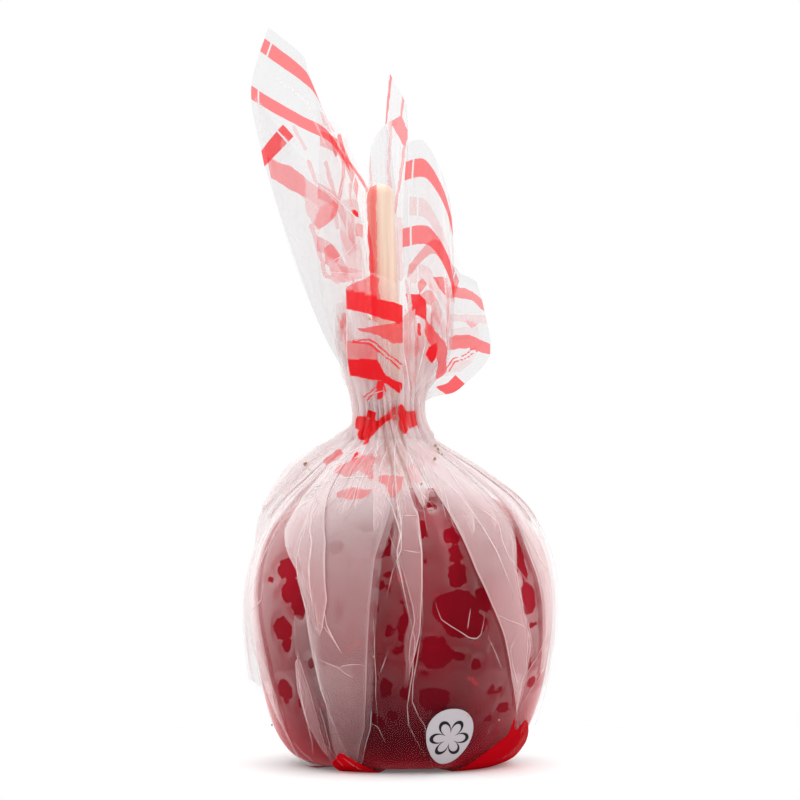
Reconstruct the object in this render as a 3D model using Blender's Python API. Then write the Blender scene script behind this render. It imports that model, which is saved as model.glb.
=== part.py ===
"""Toffee apple on a wooden stick, in a clear film bag gathered round the stick.

Three solids: the apple in its hard toffee coat with the pooled foot that it stands on, the
stick, and the film bag. The bag hugs the apple, closes to a neck round the stick and opens
above it into a small cup and tall ears. Sizes are in millimetres and become metres at the end.
The origin is at the middle of the flat foot, +Z is up, and the front of the plume looks to -Y.
"""

import math

import bmesh
import bpy
from mathutils import Vector

MM = 0.001
GAP = 0.3  # kept between solids that touch on the real thing

# The coated apple: radius and height of its turned outline, from the foot's rim to the crown
FOOT_HEIGHT = 0.8
FOOT_RADIUS = 22.0
APPLE_OUTLINE = (
    (FOOT_RADIUS, FOOT_HEIGHT), (26.0, 3.2), (29.6, 9.0), (32.8, 20.0), (34.6, 35.0),
    (33.2, 47.0), (28.9, 55.8), (21.5, 61.8), (12.0, 63.6), (6.0, 62.4),
)
CROWN_HEIGHT = 62.0
APPLE_LOBES = 5
LOBE_DEPTH = 0.35

# The stick: a round dowel that leans to -X
STICK_RADIUS = 3.1
STICK_LOW = 27.0
STICK_HIGH = 133.6
STICK_LEAN = math.radians(3.0)
LEAN_HEIGHT = 38.0  # the stick crosses the apple's own axis here
STICK_CROWN = 2.2  # height of its rounded end

# The bag: radius and height of its outside, from the foot's rim over the neck to the cup's rim
BAG_OUTLINE = (
    (22.6, 0.0), (26.8, 2.0), (30.0, 6.6), (32.1, 12.0), (34.1, 20.0), (35.5, 29.0),
    (35.9, 37.0), (35.2, 44.6), (33.2, 51.6), (30.2, 57.2), (26.3, 61.9), (21.0, 66.3),
    (15.2, 70.8), (9.8, 75.4), (7.7, 79.0), (7.4, 82.5), (8.6, 87.0), (10.3, 93.0),
    (11.2, 101.0), (11.6, 111.0),
)
NECK_ROW = 15  # the row of BAG_OUTLINE at the neck
BAG_EASE = 0.5  # the bag's inside stays this far off the apple's side
CUP_WALL = 1.3
CUP_FLOOR = 88.0
CUP_FLATNESS = 0.78  # the cup's depth over its width
COLUMNS = 66
RIM_WAVE = 2.0  # how far the cup's rim rises and falls

# Knife pleats of the bag: how many, and how far they stand out at the foot, waist, shoulder, neck
PLEATS = 11
PLEAT_HEIGHTS = ((0.0, 0.0), (6.0, 0.4), (37.0, 0.6), (57.0, 1.2), (68.0, 2.2), (80.0, 0.9),
                 (96.0, 1.1), (111.0, 0.6))

# Side seams of the bag stand off as fins: height up the bag, and how far each stands out
LEFT_FIN = ((17.0, 0.0), (19.0, 1.9), (34.0, 1.3), (50.0, 0.5), (57.0, 2.6), (63.0, 4.6),
            (69.0, 7.0), (73.0, 6.0), (78.0, 0.0))
RIGHT_FIN = ((10.0, 0.0), (22.0, 0.5), (37.0, 0.4), (60.0, 0.4), (72.0, 0.0))
FIN_HALF_ANGLE = math.radians(11.0)

# Ears of the plume, as lofted plates. Each row of points runs across the ear, low row first.
EAR_THICKNESS = 1.1
EAR_ROOT_RADIUS = 5.6
EARS = {
    "tall_ear": {
        "roots": (165.0, 230.0),
        "rows": (
            ((-17.6, 0.5, 98.4), (-12.8, -3.4, 99.0), (-9.0, -5.0, 100.0)),
            ((-26.9, 0.2, 123.5), (-18.5, -2.6, 121.5), (-9.6, -2.2, 118.0)),
            ((-32.4, 0.0, 142.0), (-23.4, -1.8, 137.6), (-13.4, -0.4, 132.0)),
            ((-34.6, 0.0, 156.2), (-27.0, -1.0, 151.6), (-18.6, 0.8, 147.4)),
            ((-30.9, 0.0, 170.0), (-26.2, -0.4, 166.2), (-20.4, 1.0, 159.6)),
        ),
    },
    "spike": {
        "roots": (70.0, 125.0),
        "rows": (
            ((-10.5, 7.6, 101.0), (-4.0, 8.6, 101.0), (2.4, 7.6, 101.0)),
            ((-9.4, 7.4, 126.0), (-3.6, 7.8, 126.0), (2.2, 6.8, 126.0)),
            ((-7.4, 6.8, 141.5), (-2.8, 6.4, 144.5), (1.8, 5.8, 144.5)),
            ((-4.2, 6.2, 151.5), (-2.3, 5.6, 159.4), (1.0, 5.2, 154.0)),
        ),
    },
    "right_ear": {
        "roots": (285.0, 355.0),
        "rows": (
            ((1.6, -5.0, 99.0), (6.5, -4.6, 100.0), (10.6, -0.6, 100.6)),
            ((1.6, -2.8, 121.0), (7.0, -3.4, 121.0), (12.2, 0.2, 119.0)),
            ((1.6, -1.2, 136.0), (6.6, -2.0, 135.4), (11.2, 0.6, 130.4)),
            ((1.8, -0.4, 144.0), (5.6, -0.8, 142.8), (9.0, 0.8, 139.2)),
        ),
    },
    "right_lobe": {
        "roots": (-8.0, 40.0),
        "rows": (
            ((8.4, 2.0, 86.8), (11.4, 2.6, 91.5), (11.2, 3.4, 96.6), (9.6, 3.8, 100.0)),
            ((13.4, 2.2, 87.6), (16.4, 2.8, 94.2), (16.0, 3.6, 103.6), (11.4, 4.0, 108.0)),
            ((17.8, 2.6, 91.8), (20.0, 3.0, 98.6), (18.4, 3.8, 109.0), (12.4, 4.2, 113.2)),
        ),
    },
    "back_ear": {
        "roots": (125.0, 172.0),
        "rows": (
            ((-8.4, 8.2, 99.0), (-12.4, 7.2, 98.0), (-15.0, 4.6, 96.0)),
            ((-10.6, 7.0, 121.0), (-15.0, 6.4, 119.0), (-19.4, 5.2, 115.0)),
            ((-9.6, 5.6, 137.0), (-13.4, 5.2, 146.4), (-18.6, 4.4, 149.6)),
        ),
    },
    "back_lobe": {
        "roots": (30.0, 80.0),
        "rows": (
            ((9.4, 6.8, 96.0), (5.4, 9.8, 97.0), (1.0, 10.8, 98.0)),
            ((12.6, 9.6, 108.0), (7.0, 12.4, 112.0), (1.2, 12.6, 110.0)),
            ((14.6, 11.4, 115.0), (9.0, 14.2, 125.0), (2.4, 14.0, 119.0)),
        ),
    },
}
EAR_ACROSS = 5
EAR_UP = 8


def clear_scene():
    for old in list(bpy.data.objects):
        bpy.data.objects.remove(old, do_unlink=True)


def material(name, colour, roughness, alpha=1.0):
    made = bpy.data.materials.new(name)
    made.use_nodes = True
    shader = made.node_tree.nodes["Principled BSDF"]
    shader.inputs["Base Color"].default_value = (*colour, 1.0)
    shader.inputs["Roughness"].default_value = roughness
    shader.inputs["Metallic"].default_value = 0.0
    shader.inputs["Alpha"].default_value = alpha
    return made


def smooth_between(points, part):
    """The point at part, 0 to 1, of a smooth curve through all of points."""
    place = min(max(part, 0.0), 1.0) * (len(points) - 1)
    start = min(int(place), len(points) - 2)
    t = place - start
    ends = [Vector(points[min(max(start + step, 0), len(points) - 1)]) for step in (-1, 0, 1, 2)]
    return 0.5 * (
        2 * ends[1]
        + (ends[2] - ends[0]) * t
        + (2 * ends[0] - 5 * ends[1] + 4 * ends[2] - ends[3]) * t**2
        + (3 * (ends[1] - ends[2]) + ends[3] - ends[0]) * t**3
    )


def read_off(table, height):
    """The value at this height of a table of (height, value) pairs."""
    if height <= table[0][0] or height >= table[-1][0]:
        return table[0][1] if height <= table[0][0] else table[-1][1]
    for (low, first), (high, last) in zip(table, table[1:]):
        if height <= high:
            return first + (last - first) * (height - low) / (high - low)
    return table[-1][1]


def ease(low, high, value):
    part = min(max((value - low) / (high - low), 0.0), 1.0)
    return part * part * (3 - 2 * part)


def lean_x(height):
    """How far the stick's axis lies from the apple's own axis at this height."""
    return -math.tan(STICK_LEAN) * (height - LEAN_HEIGHT)


def bag_axis(height):
    """The bag is centred on the apple below, and on the stick from the shoulder up."""
    return lean_x(height) * ease(58.0, 74.0, height)


def lobes(angle, height):
    """The apple's soft ribs, deepest at its waist and gone at the foot and the shoulder."""
    return LOBE_DEPTH * math.cos(APPLE_LOBES * angle) * ease(2.0, 20.0, height) * ease(60.0, 50.0, height)


def pleat(angle, height):
    """A knife pleat climbs slowly on one side and falls steeply on the other."""
    turn = angle / math.tau * PLEATS + 0.35 * math.sin(2 * angle + 0.6) + height * 0.004
    phase = turn - math.floor(turn)
    saw = phase / 0.7 if phase < 0.7 else (1.0 - phase) / 0.3
    return read_off(PLEAT_HEIGHTS, height) * saw


def fin(angle, height):
    left = abs(math.remainder(angle - math.pi, math.tau))
    right = abs(math.remainder(angle, math.tau))
    stands = read_off(LEFT_FIN, height) * max(0.0, 1.0 - left / FIN_HALF_ANGLE)
    return stands + read_off(RIGHT_FIN, height) * max(0.0, 1.0 - right / FIN_HALF_ANGLE)


def waved(angle, height):
    """The cup's rim is uneven, and what lies below it follows, down to the gathers."""
    wave = math.sin(3 * angle + 0.8) + 0.5 * math.sin(5 * angle)
    return height + RIM_WAVE * wave * ease(94.0, 111.0, height)


def cup_squash(angle, height):
    """Above the neck the bag is flatter from front to back."""
    flat = 1.0 + (CUP_FLATNESS - 1.0) * ease(82.0, 96.0, height)
    return flat / math.hypot(flat * math.cos(angle), math.sin(angle))


def round_point(radius, height, angle, centre=0.0):
    return Vector((centre + radius * math.cos(angle), radius * math.sin(angle), height))


def bag_outside(radius, height, angle):
    grown = radius + lobes(angle, height) + pleat(angle, height) + fin(angle, height)
    reach = grown * cup_squash(angle, height)
    return round_point(reach, waved(angle, height), angle, bag_axis(height))


def bag_inside(radius, height, angle):
    kept = (radius + lobes(angle, height)) * cup_squash(angle, height)
    return round_point(kept, waved(angle, height), angle, bag_axis(height))


def skin(name, rows, columns):
    """A closed body from rings of points. Each row is a function of the angle."""
    mesh = bmesh.new()
    bmesh.ops.create_grid(mesh, x_segments=columns, y_segments=len(rows) - 1, size=0.5)
    for vertex in mesh.verts:
        angle = (vertex.co.x + 0.5) * math.tau
        row = round((vertex.co.y + 0.5) * (len(rows) - 1))
        vertex.co = rows[row](angle) * MM
    bmesh.ops.remove_doubles(mesh, verts=mesh.verts, dist=1e-7)
    bmesh.ops.recalc_face_normals(mesh, faces=mesh.faces)
    return as_object(name, mesh)


def as_object(name, mesh):
    data = bpy.data.meshes.new(name)
    mesh.to_mesh(data)
    mesh.free()
    data.shade_smooth()
    made = bpy.data.objects.new(name, data)
    bpy.context.scene.collection.objects.link(made)
    return made


def ring(radius, height):
    return lambda angle: round_point(radius, height, angle)


def make_apple():
    """The turned apple, with five soft ribs, a flat foot and a hole for the stick."""
    steps = 18
    rows = [ring(0.0, FOOT_HEIGHT)]
    for step in range(steps + 1):
        radius, height = smooth_between(APPLE_OUTLINE, step / steps)
        rows.append(
            lambda angle, r=radius, z=height: round_point(r + lobes(angle, z), z, angle)
        )
    rows.append(ring(0.0, CROWN_HEIGHT))
    apple = skin("coated_apple", rows, 40)
    cutter = dowel("stick_hole", STICK_RADIUS + GAP, STICK_LOW - GAP, STICK_HIGH)
    cutter.hide_render = True
    cutter.display_type = "WIRE"
    cut = apple.modifiers.new("stick_hole", "BOOLEAN")
    cut.operation = "DIFFERENCE"
    cut.solver = "EXACT"
    cut.object = cutter
    return apple


def dowel(name, radius, low, high):
    """A leaning rod with a slightly domed end, placed on the stick's own axis."""
    mesh = bmesh.new()
    length = (high - low) / math.cos(STICK_LEAN)
    bmesh.ops.create_cone(
        mesh, segments=24, radius1=radius * MM, radius2=radius * MM, depth=length * MM, cap_ends=True
    )
    rod = as_object(name, mesh)
    rod.rotation_euler.y = -STICK_LEAN
    middle = (low + high) / 2
    rod.location = Vector((lean_x(middle), 0.0, middle)) * MM
    return rod


def make_stick():
    stick = dowel("stick", STICK_RADIUS, STICK_LOW, STICK_HIGH)
    mesh = bmesh.new()
    mesh.from_mesh(stick.data)
    top = [edge for edge in mesh.edges if all(vertex.co.z > 0 for vertex in edge.verts)]
    bmesh.ops.bevel(
        mesh, geom=top, offset=STICK_CROWN * MM, offset_type="OFFSET", affect="EDGES",
        segments=4, profile=0.5, material=-1,
    )
    mesh.to_mesh(stick.data)
    mesh.free()
    stick.data.set_sharp_from_angle(angle=math.radians(40.0))
    return stick


def ear_plate(name, roots, rows):
    """One ear as a thin lofted plate that starts inside the neck's wall."""
    neck_height = BAG_OUTLINE[NECK_ROW][1]
    root_row = []
    for column in range(3):
        angle = math.radians(roots[0] + (roots[1] - roots[0]) * column / 2)
        root_row.append(round_point(EAR_ROOT_RADIUS, neck_height, angle, bag_axis(neck_height)))
    net = [root_row, *rows]
    mesh = bmesh.new()
    bmesh.ops.create_grid(mesh, x_segments=EAR_ACROSS, y_segments=EAR_UP, size=0.5)
    for vertex in mesh.verts:
        across, up = vertex.co.x + 0.5, vertex.co.y + 0.5
        line = [smooth_between(row, across) for row in net]
        vertex.co = smooth_between(line, up) * MM
    plate = as_object(name, mesh)
    wall = plate.modifiers.new("wall", "SOLIDIFY")
    wall.thickness = EAR_THICKNESS * MM
    wall.offset = 0.0
    plate.hide_render = True
    plate.display_type = "WIRE"
    return plate


def bag_rows():
    """The bag's outside from the middle of the foot to the cup's rim, then its inside back down."""
    rows = [ring(0.0, 0.0)]
    steps = 24
    for step in range(steps + 1):
        radius, height = smooth_between(BAG_OUTLINE, step / steps)
        rows.append(lambda angle, r=radius, z=height: bag_outside(r, z, angle))
    rim_radius, rim_height = BAG_OUTLINE[-1]
    rows.append(lambda angle: bag_inside(rim_radius - CUP_WALL, rim_height, angle))
    cup = ((9.6, 101.0), (7.2, 93.0), (STICK_RADIUS + GAP + 0.9, CUP_FLOOR))
    for radius, height in cup:
        rows.append(lambda angle, r=radius, z=height: bag_inside(r, z, angle))
    for height in (CUP_FLOOR - 1.5, 77.0):
        rows.append(
            lambda angle, z=height: round_point(STICK_RADIUS + GAP, z, angle, lean_x(z))
        )
    for radius, height in ((8.4, 74.4), (14.4, 69.8), (20.2, 65.4), (25.4, 61.3)):
        rows.append(lambda angle, r=radius, z=height: bag_inside(r, z, angle))
    steps = 8
    inner = [(radius + BAG_EASE, height) for radius, height in APPLE_OUTLINE[1:7]]
    for step in range(steps + 1):
        radius, height = smooth_between(inner, 1.0 - step / steps)
        rows.append(lambda angle, r=radius, z=height: bag_inside(r, z, angle))
    rows.append(ring(FOOT_RADIUS + GAP, FOOT_HEIGHT - GAP))
    rows.append(ring(0.0, FOOT_HEIGHT - GAP))
    return rows


def make_bag():
    """The film bag: a hollow turned skin, joined to its ears."""
    bag = skin("film_wrap", bag_rows(), COLUMNS)
    for name, ear in EARS.items():
        join = bag.modifiers.new(name, "BOOLEAN")
        join.operation = "UNION"
        join.solver = "EXACT"
        join.object = ear_plate(name, ear["roots"], ear["rows"])
    return bag


def build():
    clear_scene()
    apple = make_apple()
    apple.data.materials.append(material("red_toffee", (0.16, 0.004, 0.012), 0.15))
    stick = make_stick()
    stick.data.materials.append(material("pale_wood", (0.84, 0.62, 0.46), 0.6))
    bag = make_bag()
    bag.data.materials.append(material("clear_film", (0.95, 0.93, 0.94), 0.1, alpha=0.35))


build()
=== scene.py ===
# %% [markdown]
# # A toffee apple in a gathered film bag
#
# The real thing: an apple is pushed on to a round stick, dipped in hot red toffee and set down
# stick up, so that the toffee pools into a flat foot. It then goes into a crisp clear bag, which
# is gathered round the stick. Above the gathers the bag's mouth stands up in tall ears.
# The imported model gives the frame: every size below is set against its three solids.

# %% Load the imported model
import math

import bmesh
import bpy
import numpy as np
from mathutils import Matrix, Vector, noise
from mathutils.bvhtree import BVHTree


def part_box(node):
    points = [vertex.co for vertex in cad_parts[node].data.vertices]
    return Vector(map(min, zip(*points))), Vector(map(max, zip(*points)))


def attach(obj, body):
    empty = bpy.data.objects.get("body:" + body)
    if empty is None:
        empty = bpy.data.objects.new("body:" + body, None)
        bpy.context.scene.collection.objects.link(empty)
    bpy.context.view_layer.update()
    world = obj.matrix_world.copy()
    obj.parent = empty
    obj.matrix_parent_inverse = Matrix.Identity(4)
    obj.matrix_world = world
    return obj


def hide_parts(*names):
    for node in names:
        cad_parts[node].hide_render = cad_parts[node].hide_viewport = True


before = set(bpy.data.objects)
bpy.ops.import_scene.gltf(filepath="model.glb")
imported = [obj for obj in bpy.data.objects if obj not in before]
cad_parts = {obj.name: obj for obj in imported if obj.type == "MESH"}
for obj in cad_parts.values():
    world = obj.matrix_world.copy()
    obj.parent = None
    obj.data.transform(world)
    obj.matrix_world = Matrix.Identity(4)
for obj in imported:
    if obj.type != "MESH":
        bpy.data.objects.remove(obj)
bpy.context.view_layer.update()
MM = 0.001

# %% [markdown]
# ## Measures from the frame
#
# The stick's thickness and end come from its solid's box. Its lean is worked out from the same
# box, because a leaning rod makes its box wider. The apple's width and foot are printed to compare.

# %% Read the boxes
apple_low, apple_high = (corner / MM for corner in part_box("coated_apple"))
stick_low, stick_high = (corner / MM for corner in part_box("stick"))
STICK_RADIUS = (stick_high.y - stick_low.y) / 2
foot_height = apple_low.z
stick_top = stick_high.z
stick_run = (stick_high.x - stick_low.x - 2 * STICK_RADIUS) / (stick_high.z - stick_low.z)
STICK_LEAN = math.atan(stick_run)
LEAN_HEIGHT = stick_low.z + (stick_high.x - STICK_RADIUS) / stick_run
print(f"apple {apple_high.x - apple_low.x:.1f} mm wide, standing at {foot_height:.1f} mm")
print(f"stick radius {STICK_RADIUS:.2f} mm, lean {math.degrees(STICK_LEAN):.2f} degrees,",
      f"over the apple's axis at {LEAN_HEIGHT:.1f} mm")

# %% [markdown]
# ## Curves through a few points
#
# An outline is easier to read as a handful of points than as a formula. A Catmull-Rom curve goes
# smoothly through every point, and NumPy works it out for thousands of places at once.

# %% Smooth curves
def smooth_line(points, parts):
    """Places on a smooth curve through points, for parts from 0 to 1."""
    points = np.asarray(points, float)
    place = np.clip(parts, 0.0, 1.0) * (len(points) - 1)
    start = np.minimum(place.astype(int), len(points) - 2)
    t = (place - start).reshape(place.shape + (1,) * (points.ndim - 1))
    a, b, c, d = (points[np.clip(start + step, 0, len(points) - 1)] for step in (-1, 0, 1, 2))
    return 0.5 * (2 * b + (c - a) * t + (2 * a - 5 * b + 4 * c - d) * t**2
                  + (3 * (b - c) + d - a) * t**3)


def even_line(points, count):
    """Places at equal distances along the smooth curve through points."""
    fine = smooth_line(points, np.linspace(0, 1, 600))
    run = np.r_[0, np.cumsum(np.linalg.norm(np.diff(fine, axis=0), axis=1))]
    wanted = np.linspace(0, run[-1], count)
    return np.stack([np.interp(wanted, run, fine[:, k]) for k in range(fine.shape[1])], axis=1)


def ease(low, high, value):
    part = np.clip((np.asarray(value, float) - low) / (high - low), 0.0, 1.0)
    return part * part * (3 - 2 * part)


def read_off(table, height):
    """Values at these heights of a table of (height, value) pairs."""
    heights, values = zip(*table)
    return np.interp(height, heights, values)


# %% [markdown]
# ## Sheets and turned skins
#
# Both the toffee and the film start as a flat grid that is bent into place: the grid's two
# directions become the way round and the way up. Where the ends of the grid meet, the doubled
# vertices are merged, so the skin is whole.

# %% Bend a grid
def bent_grid(name, columns, rows, bend, weld=True):
    """A grid of columns by rows bent by bend(s, t), which gives places in mm and named values."""
    mesh = bmesh.new()
    bmesh.ops.create_grid(mesh, x_segments=columns, y_segments=rows, size=0.5)
    data = bpy.data.meshes.new(name)
    mesh.to_mesh(data)
    mesh.free()
    flat = np.empty(len(data.vertices) * 3)
    data.vertices.foreach_get("co", flat)
    s, t = flat.reshape(-1, 3)[:, 0] + 0.5, flat.reshape(-1, 3)[:, 1] + 0.5
    places, values = bend(s, t)
    data.vertices.foreach_set("co", (places * MM).ravel())
    for label, numbers in values.items():
        layer = data.attributes.new(label, "FLOAT", "POINT")
        layer.data.foreach_set("value", np.broadcast_to(numbers, len(s)).astype(float))
    if weld:
        mesh = bmesh.new()
        mesh.from_mesh(data)
        bmesh.ops.remove_doubles(mesh, verts=mesh.verts, dist=1e-7)
        mesh.to_mesh(data)
        mesh.free()
    return data


def show(name, data, finish, sharp=None):
    """Puts a mesh in the scene as a piece that rides on the one body."""
    piece = bpy.data.objects.new(name, data)
    bpy.context.scene.collection.objects.link(piece)
    data.materials.append(finish)
    data.shade_smooth()
    if sharp is not None:
        data.set_sharp_from_angle(angle=math.radians(sharp))
    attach(piece, "root")
    print(f"{name}: {len(data.polygons)} faces")
    return piece


def grain(points, size, seed=0.0):
    """Smooth noise, -1 to 1, with lumps of about this size."""
    return np.array([noise.noise(Vector(p) / size + Vector((seed, seed, seed))) for p in points])


def fold_lines(points, size, seed=0.0):
    """1 on the edges between crumpled flats, 0 away from them."""
    shift = Vector((seed, seed * 2, seed * 3))
    away = []
    for p in points:
        near = noise.voronoi(Vector(p) / size + shift, distance_metric="CHEBYCHEV")[0]
        away.append(near[1] - near[0])
    return np.exp(-np.array(away) * size / 0.22)


def facets(points, size, seed=0.0):
    """Crumpled flats with sharp edges between them, 0 to 1."""
    shift = Vector((seed, seed * 2, seed * 3))
    return np.array([
        noise.voronoi(Vector(p) / size + shift, distance_metric="CHEBYCHEV")[0][0]
        for p in points
    ])


# %% [markdown]
# ## Camera and light
#
# A long lens a little above the foot keeps the proportions true. The light is a white studio:
# a bright surround that is brightest overhead, so that the film has
# something white to mirror everywhere.

# %% Camera
VIEW_WIDTH = 0.1849  # metres across the view at the object
LENS = 150.0
SENSOR = 36.0
NEAREST = 0.01  # nothing nearer than this is shown
CAMERA_HEIGHT = 0.080
AIM = Vector((-0.0002, 0.0, 0.0838))

camera = bpy.data.objects.new("camera", bpy.data.cameras.new("camera"))
camera.data.lens = LENS
camera.data.sensor_width = SENSOR
camera.data.clip_start = NEAREST
distance = VIEW_WIDTH * LENS / SENSOR
camera.location = (AIM.x, -distance, CAMERA_HEIGHT)
camera.rotation_euler = (AIM - camera.location).to_track_quat("-Z", "Y").to_euler()
bpy.context.scene.collection.objects.link(camera)
bpy.context.scene.camera = camera
print(f"camera {distance / MM:.0f} mm away, lens {LENS:.0f} mm")

# %% Studio
FLOOR_RADIUS = 0.1
FLOOR_SIDES = 96
FLOOR_TONE = (0.93, 0.93, 0.93, 1.0)
FLOOR_ROUGHNESS = 0.7
FLOOR_GLOW = 0.1
WHITE = (1.0, 1.0, 1.0, 1.0)
# Brightness from straight below, 0, to overhead, 1: all round, and on the side of the camera.
ROOM = ((0.0, 0.75), (0.32, 0.85), (0.56, 1.2), (0.7, 1.3), (1.0, 1.5))
ROOM_FRONT = ((0.0, 0.65), (0.32, 0.7), (0.56, 1.15), (0.66, 1.3), (1.0, 1.5))
FRONT_FROM = -0.25  # where the camera's side begins and is full, by the direction's Y
FRONT_FULL = -0.8


def make_floor():
    """A small pale disc that glows faintly, as a light table does."""
    mesh = bmesh.new()
    bmesh.ops.create_circle(mesh, cap_ends=True, segments=FLOOR_SIDES, radius=FLOOR_RADIUS)
    data = bpy.data.meshes.new("floor")
    mesh.to_mesh(data)
    mesh.free()
    floor = bpy.data.objects.new("floor", data)
    bpy.context.scene.collection.objects.link(floor)
    glass = bpy.data.materials.new("light_table")
    glass.use_nodes = True
    shader = glass.node_tree.nodes["Principled BSDF"]
    shader.inputs["Base Color"].default_value = FLOOR_TONE
    shader.inputs["Roughness"].default_value = FLOOR_ROUGHNESS
    shader.inputs["Emission Color"].default_value = WHITE
    shader.inputs["Emission Strength"].default_value = FLOOR_GLOW
    data.materials.append(glass)


def level_ramp(tree, stops):
    """A ramp of greys through stops of (place, level)."""
    ramp = tree.nodes.new("ShaderNodeValToRGB")
    ramp.color_ramp.interpolation = "EASE"
    for at, level in stops[1:-1]:
        ramp.color_ramp.elements.new(at)
    for element, (at, level) in zip(ramp.color_ramp.elements, stops):
        element.position = at
        element.color = (level, level, level, 1.0)
    return ramp


def make_sky():
    """Pure white for the camera, and a room that is brighter overhead for everything that mirrors it."""
    world = bpy.data.worlds.new("studio")
    bpy.context.scene.world = world
    world.use_nodes = True
    tree = world.node_tree
    tree.nodes.clear()
    place = tree.nodes.new("ShaderNodeTexCoord")
    split = tree.nodes.new("ShaderNodeSeparateXYZ")
    half = tree.nodes.new("ShaderNodeMath")
    half.operation = "MULTIPLY_ADD"
    half.inputs[1].default_value = 0.5
    half.inputs[2].default_value = 0.5
    all_round = level_ramp(tree, ROOM)
    in_front = level_ramp(tree, ROOM_FRONT)
    front = tree.nodes.new("ShaderNodeMapRange")
    front.interpolation_type = "SMOOTHSTEP"
    front.inputs["From Min"].default_value = FRONT_FROM
    front.inputs["From Max"].default_value = FRONT_FULL
    mixed = tree.nodes.new("ShaderNodeMix")
    mixed.data_type = "RGBA"
    around = tree.nodes.new("ShaderNodeBackground")
    behind = tree.nodes.new("ShaderNodeBackground")
    behind.inputs["Color"].default_value = WHITE
    ray = tree.nodes.new("ShaderNodeLightPath")
    blend = tree.nodes.new("ShaderNodeMixShader")
    output = tree.nodes.new("ShaderNodeOutputWorld")
    links = (
        (place.outputs["Generated"], split.inputs[0]), (split.outputs["Z"], half.inputs[0]),
        (half.outputs[0], all_round.inputs[0]), (half.outputs[0], in_front.inputs[0]),
        (split.outputs["Y"], front.inputs["Value"]), (front.outputs[0], mixed.inputs[0]),
        (all_round.outputs["Color"], mixed.inputs[6]), (in_front.outputs["Color"], mixed.inputs[7]),
        (mixed.outputs[2], around.inputs["Color"]),
        (ray.outputs["Is Camera Ray"], blend.inputs[0]), (around.outputs[0], blend.inputs[1]),
        (behind.outputs[0], blend.inputs[2]), (blend.outputs[0], output.inputs["Surface"]),
    )
    for source, target in links:
        tree.links.new(source, target)


make_floor()
make_sky()
bpy.context.scene.view_settings.view_transform = "Standard"
bpy.context.scene.cycles.transparent_max_bounces = 48
bpy.context.scene.cycles.diffuse_bounces = 8
bpy.context.scene.cycles.glossy_bounces = 6

# %% [markdown]
# ## Wiring materials
#
# Every finish below is a small graph of nodes. A helper that adds one node, sets its values and
# links its inputs keeps each graph readable as a list of steps.

# %% Node helper
class Graph:
    """A material's nodes, built one line at a time."""

    def __init__(self, name):
        self.material = bpy.data.materials.new(name)
        self.material.use_nodes = True
        self.tree = self.material.node_tree
        self.tree.nodes.clear()

    def add(self, kind, inputs=None, output=0, **settings):
        node = self.tree.nodes.new("ShaderNode" + kind)
        for key, value in settings.items():
            setattr(node, key, value)
        for key, value in (inputs or {}).items():
            if isinstance(value, bpy.types.NodeSocket):
                self.tree.links.new(value, node.inputs[key])
            else:
                node.inputs[key].default_value = value
        return node.outputs[output]

    def math(self, operation, first, second=0.0, third=0.0):
        return self.add("Math", {0: first, 1: second, 2: third}, operation=operation)

    def value(self, name):
        return self.add("Attribute", output="Fac", attribute_name=name)

    def step(self, value, low, high):
        """0 below low, 1 above high, smooth between."""
        return self.add(
            "MapRange", {"Value": value, "From Min": low, "From Max": high},
            interpolation_type="SMOOTHSTEP",
        )

    def blend(self, share, first, second):
        return self.add("MixShader", {0: share, 1: first, 2: second})

    def tone(self, share, first, second):
        """The first colour at share 0, the second at share 1."""
        return self.add("Mix", {0: share, 6: first, 7: second}, output=2, data_type="RGBA")

    def ramp(self, value, stops):
        """Colours along a value, through stops of (place, colour)."""
        colour = self.add("ValToRGB", {0: value})
        elements = colour.node.color_ramp.elements
        for place, _ in stops[1:-1]:
            elements.new(place)
        for element, (place, shade) in zip(elements, stops):
            element.position, element.color = place, shade
        return colour

    def thin(self, colour, passed=0.5):
        """A thin coloured layer that scatters light back and lets a share of it through."""
        return self.blend(passed, self.add("BsdfDiffuse", {"Color": colour}),
                          self.add("BsdfTranslucent", {"Color": colour}))

    def finish(self, surface):
        output = self.tree.nodes.new("ShaderNodeOutputMaterial")
        self.tree.links.new(surface, output.inputs["Surface"])
        return self.material


# %% [markdown]
# ## The toffee
#
# Hard toffee is a glass of boiled sugar: clear, deep red, darker where it is thick, as in the
# pooled foot; the lower half of the coat is also painted darker, as shade. The apple under it
# can't be seen. The coat is turned like a pot from the same outline as its solid, with five soft
# ribs, and gets slow waves where the toffee ran.

# %% The coat's outline
APPLE_OUTLINE = (
    (22.0, 0.8), (26.0, 3.2), (29.6, 9.0), (32.8, 20.0), (34.6, 35.0),
    (33.2, 47.0), (28.9, 55.5), (21.5, 61.0), (13.0, 63.2), (6.0, 61.6),
)
CROWN = (0.0, 61.0)
COAT_COLUMNS = 200
COAT_ROWS = 120
END_RINGS = 4  # rows across the foot, and as many over the crown
APPLE_LOBES = 5
LOBE_DEPTH = 0.35
RUN_DEPTH = 0.22  # slow runs of toffee down the side, and how far apart they are
RUN_SIZE = 9.0
FOOT_DEPTH = 0.4  # the uneven edge of the pooled foot
FOOT_SIZE = 6.0
COLLAR_RISE = 1.4  # how far the toffee climbs the stick
COLLAR_REACH = 1.1


def lobes(angle, height):
    """The apple's soft ribs, gone at the foot and the shoulder."""
    fade = ease(2.0, 20.0, height) * (1 - ease(50.0, 60.0, height))
    return LOBE_DEPTH * np.cos(APPLE_LOBES * angle) * fade


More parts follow.
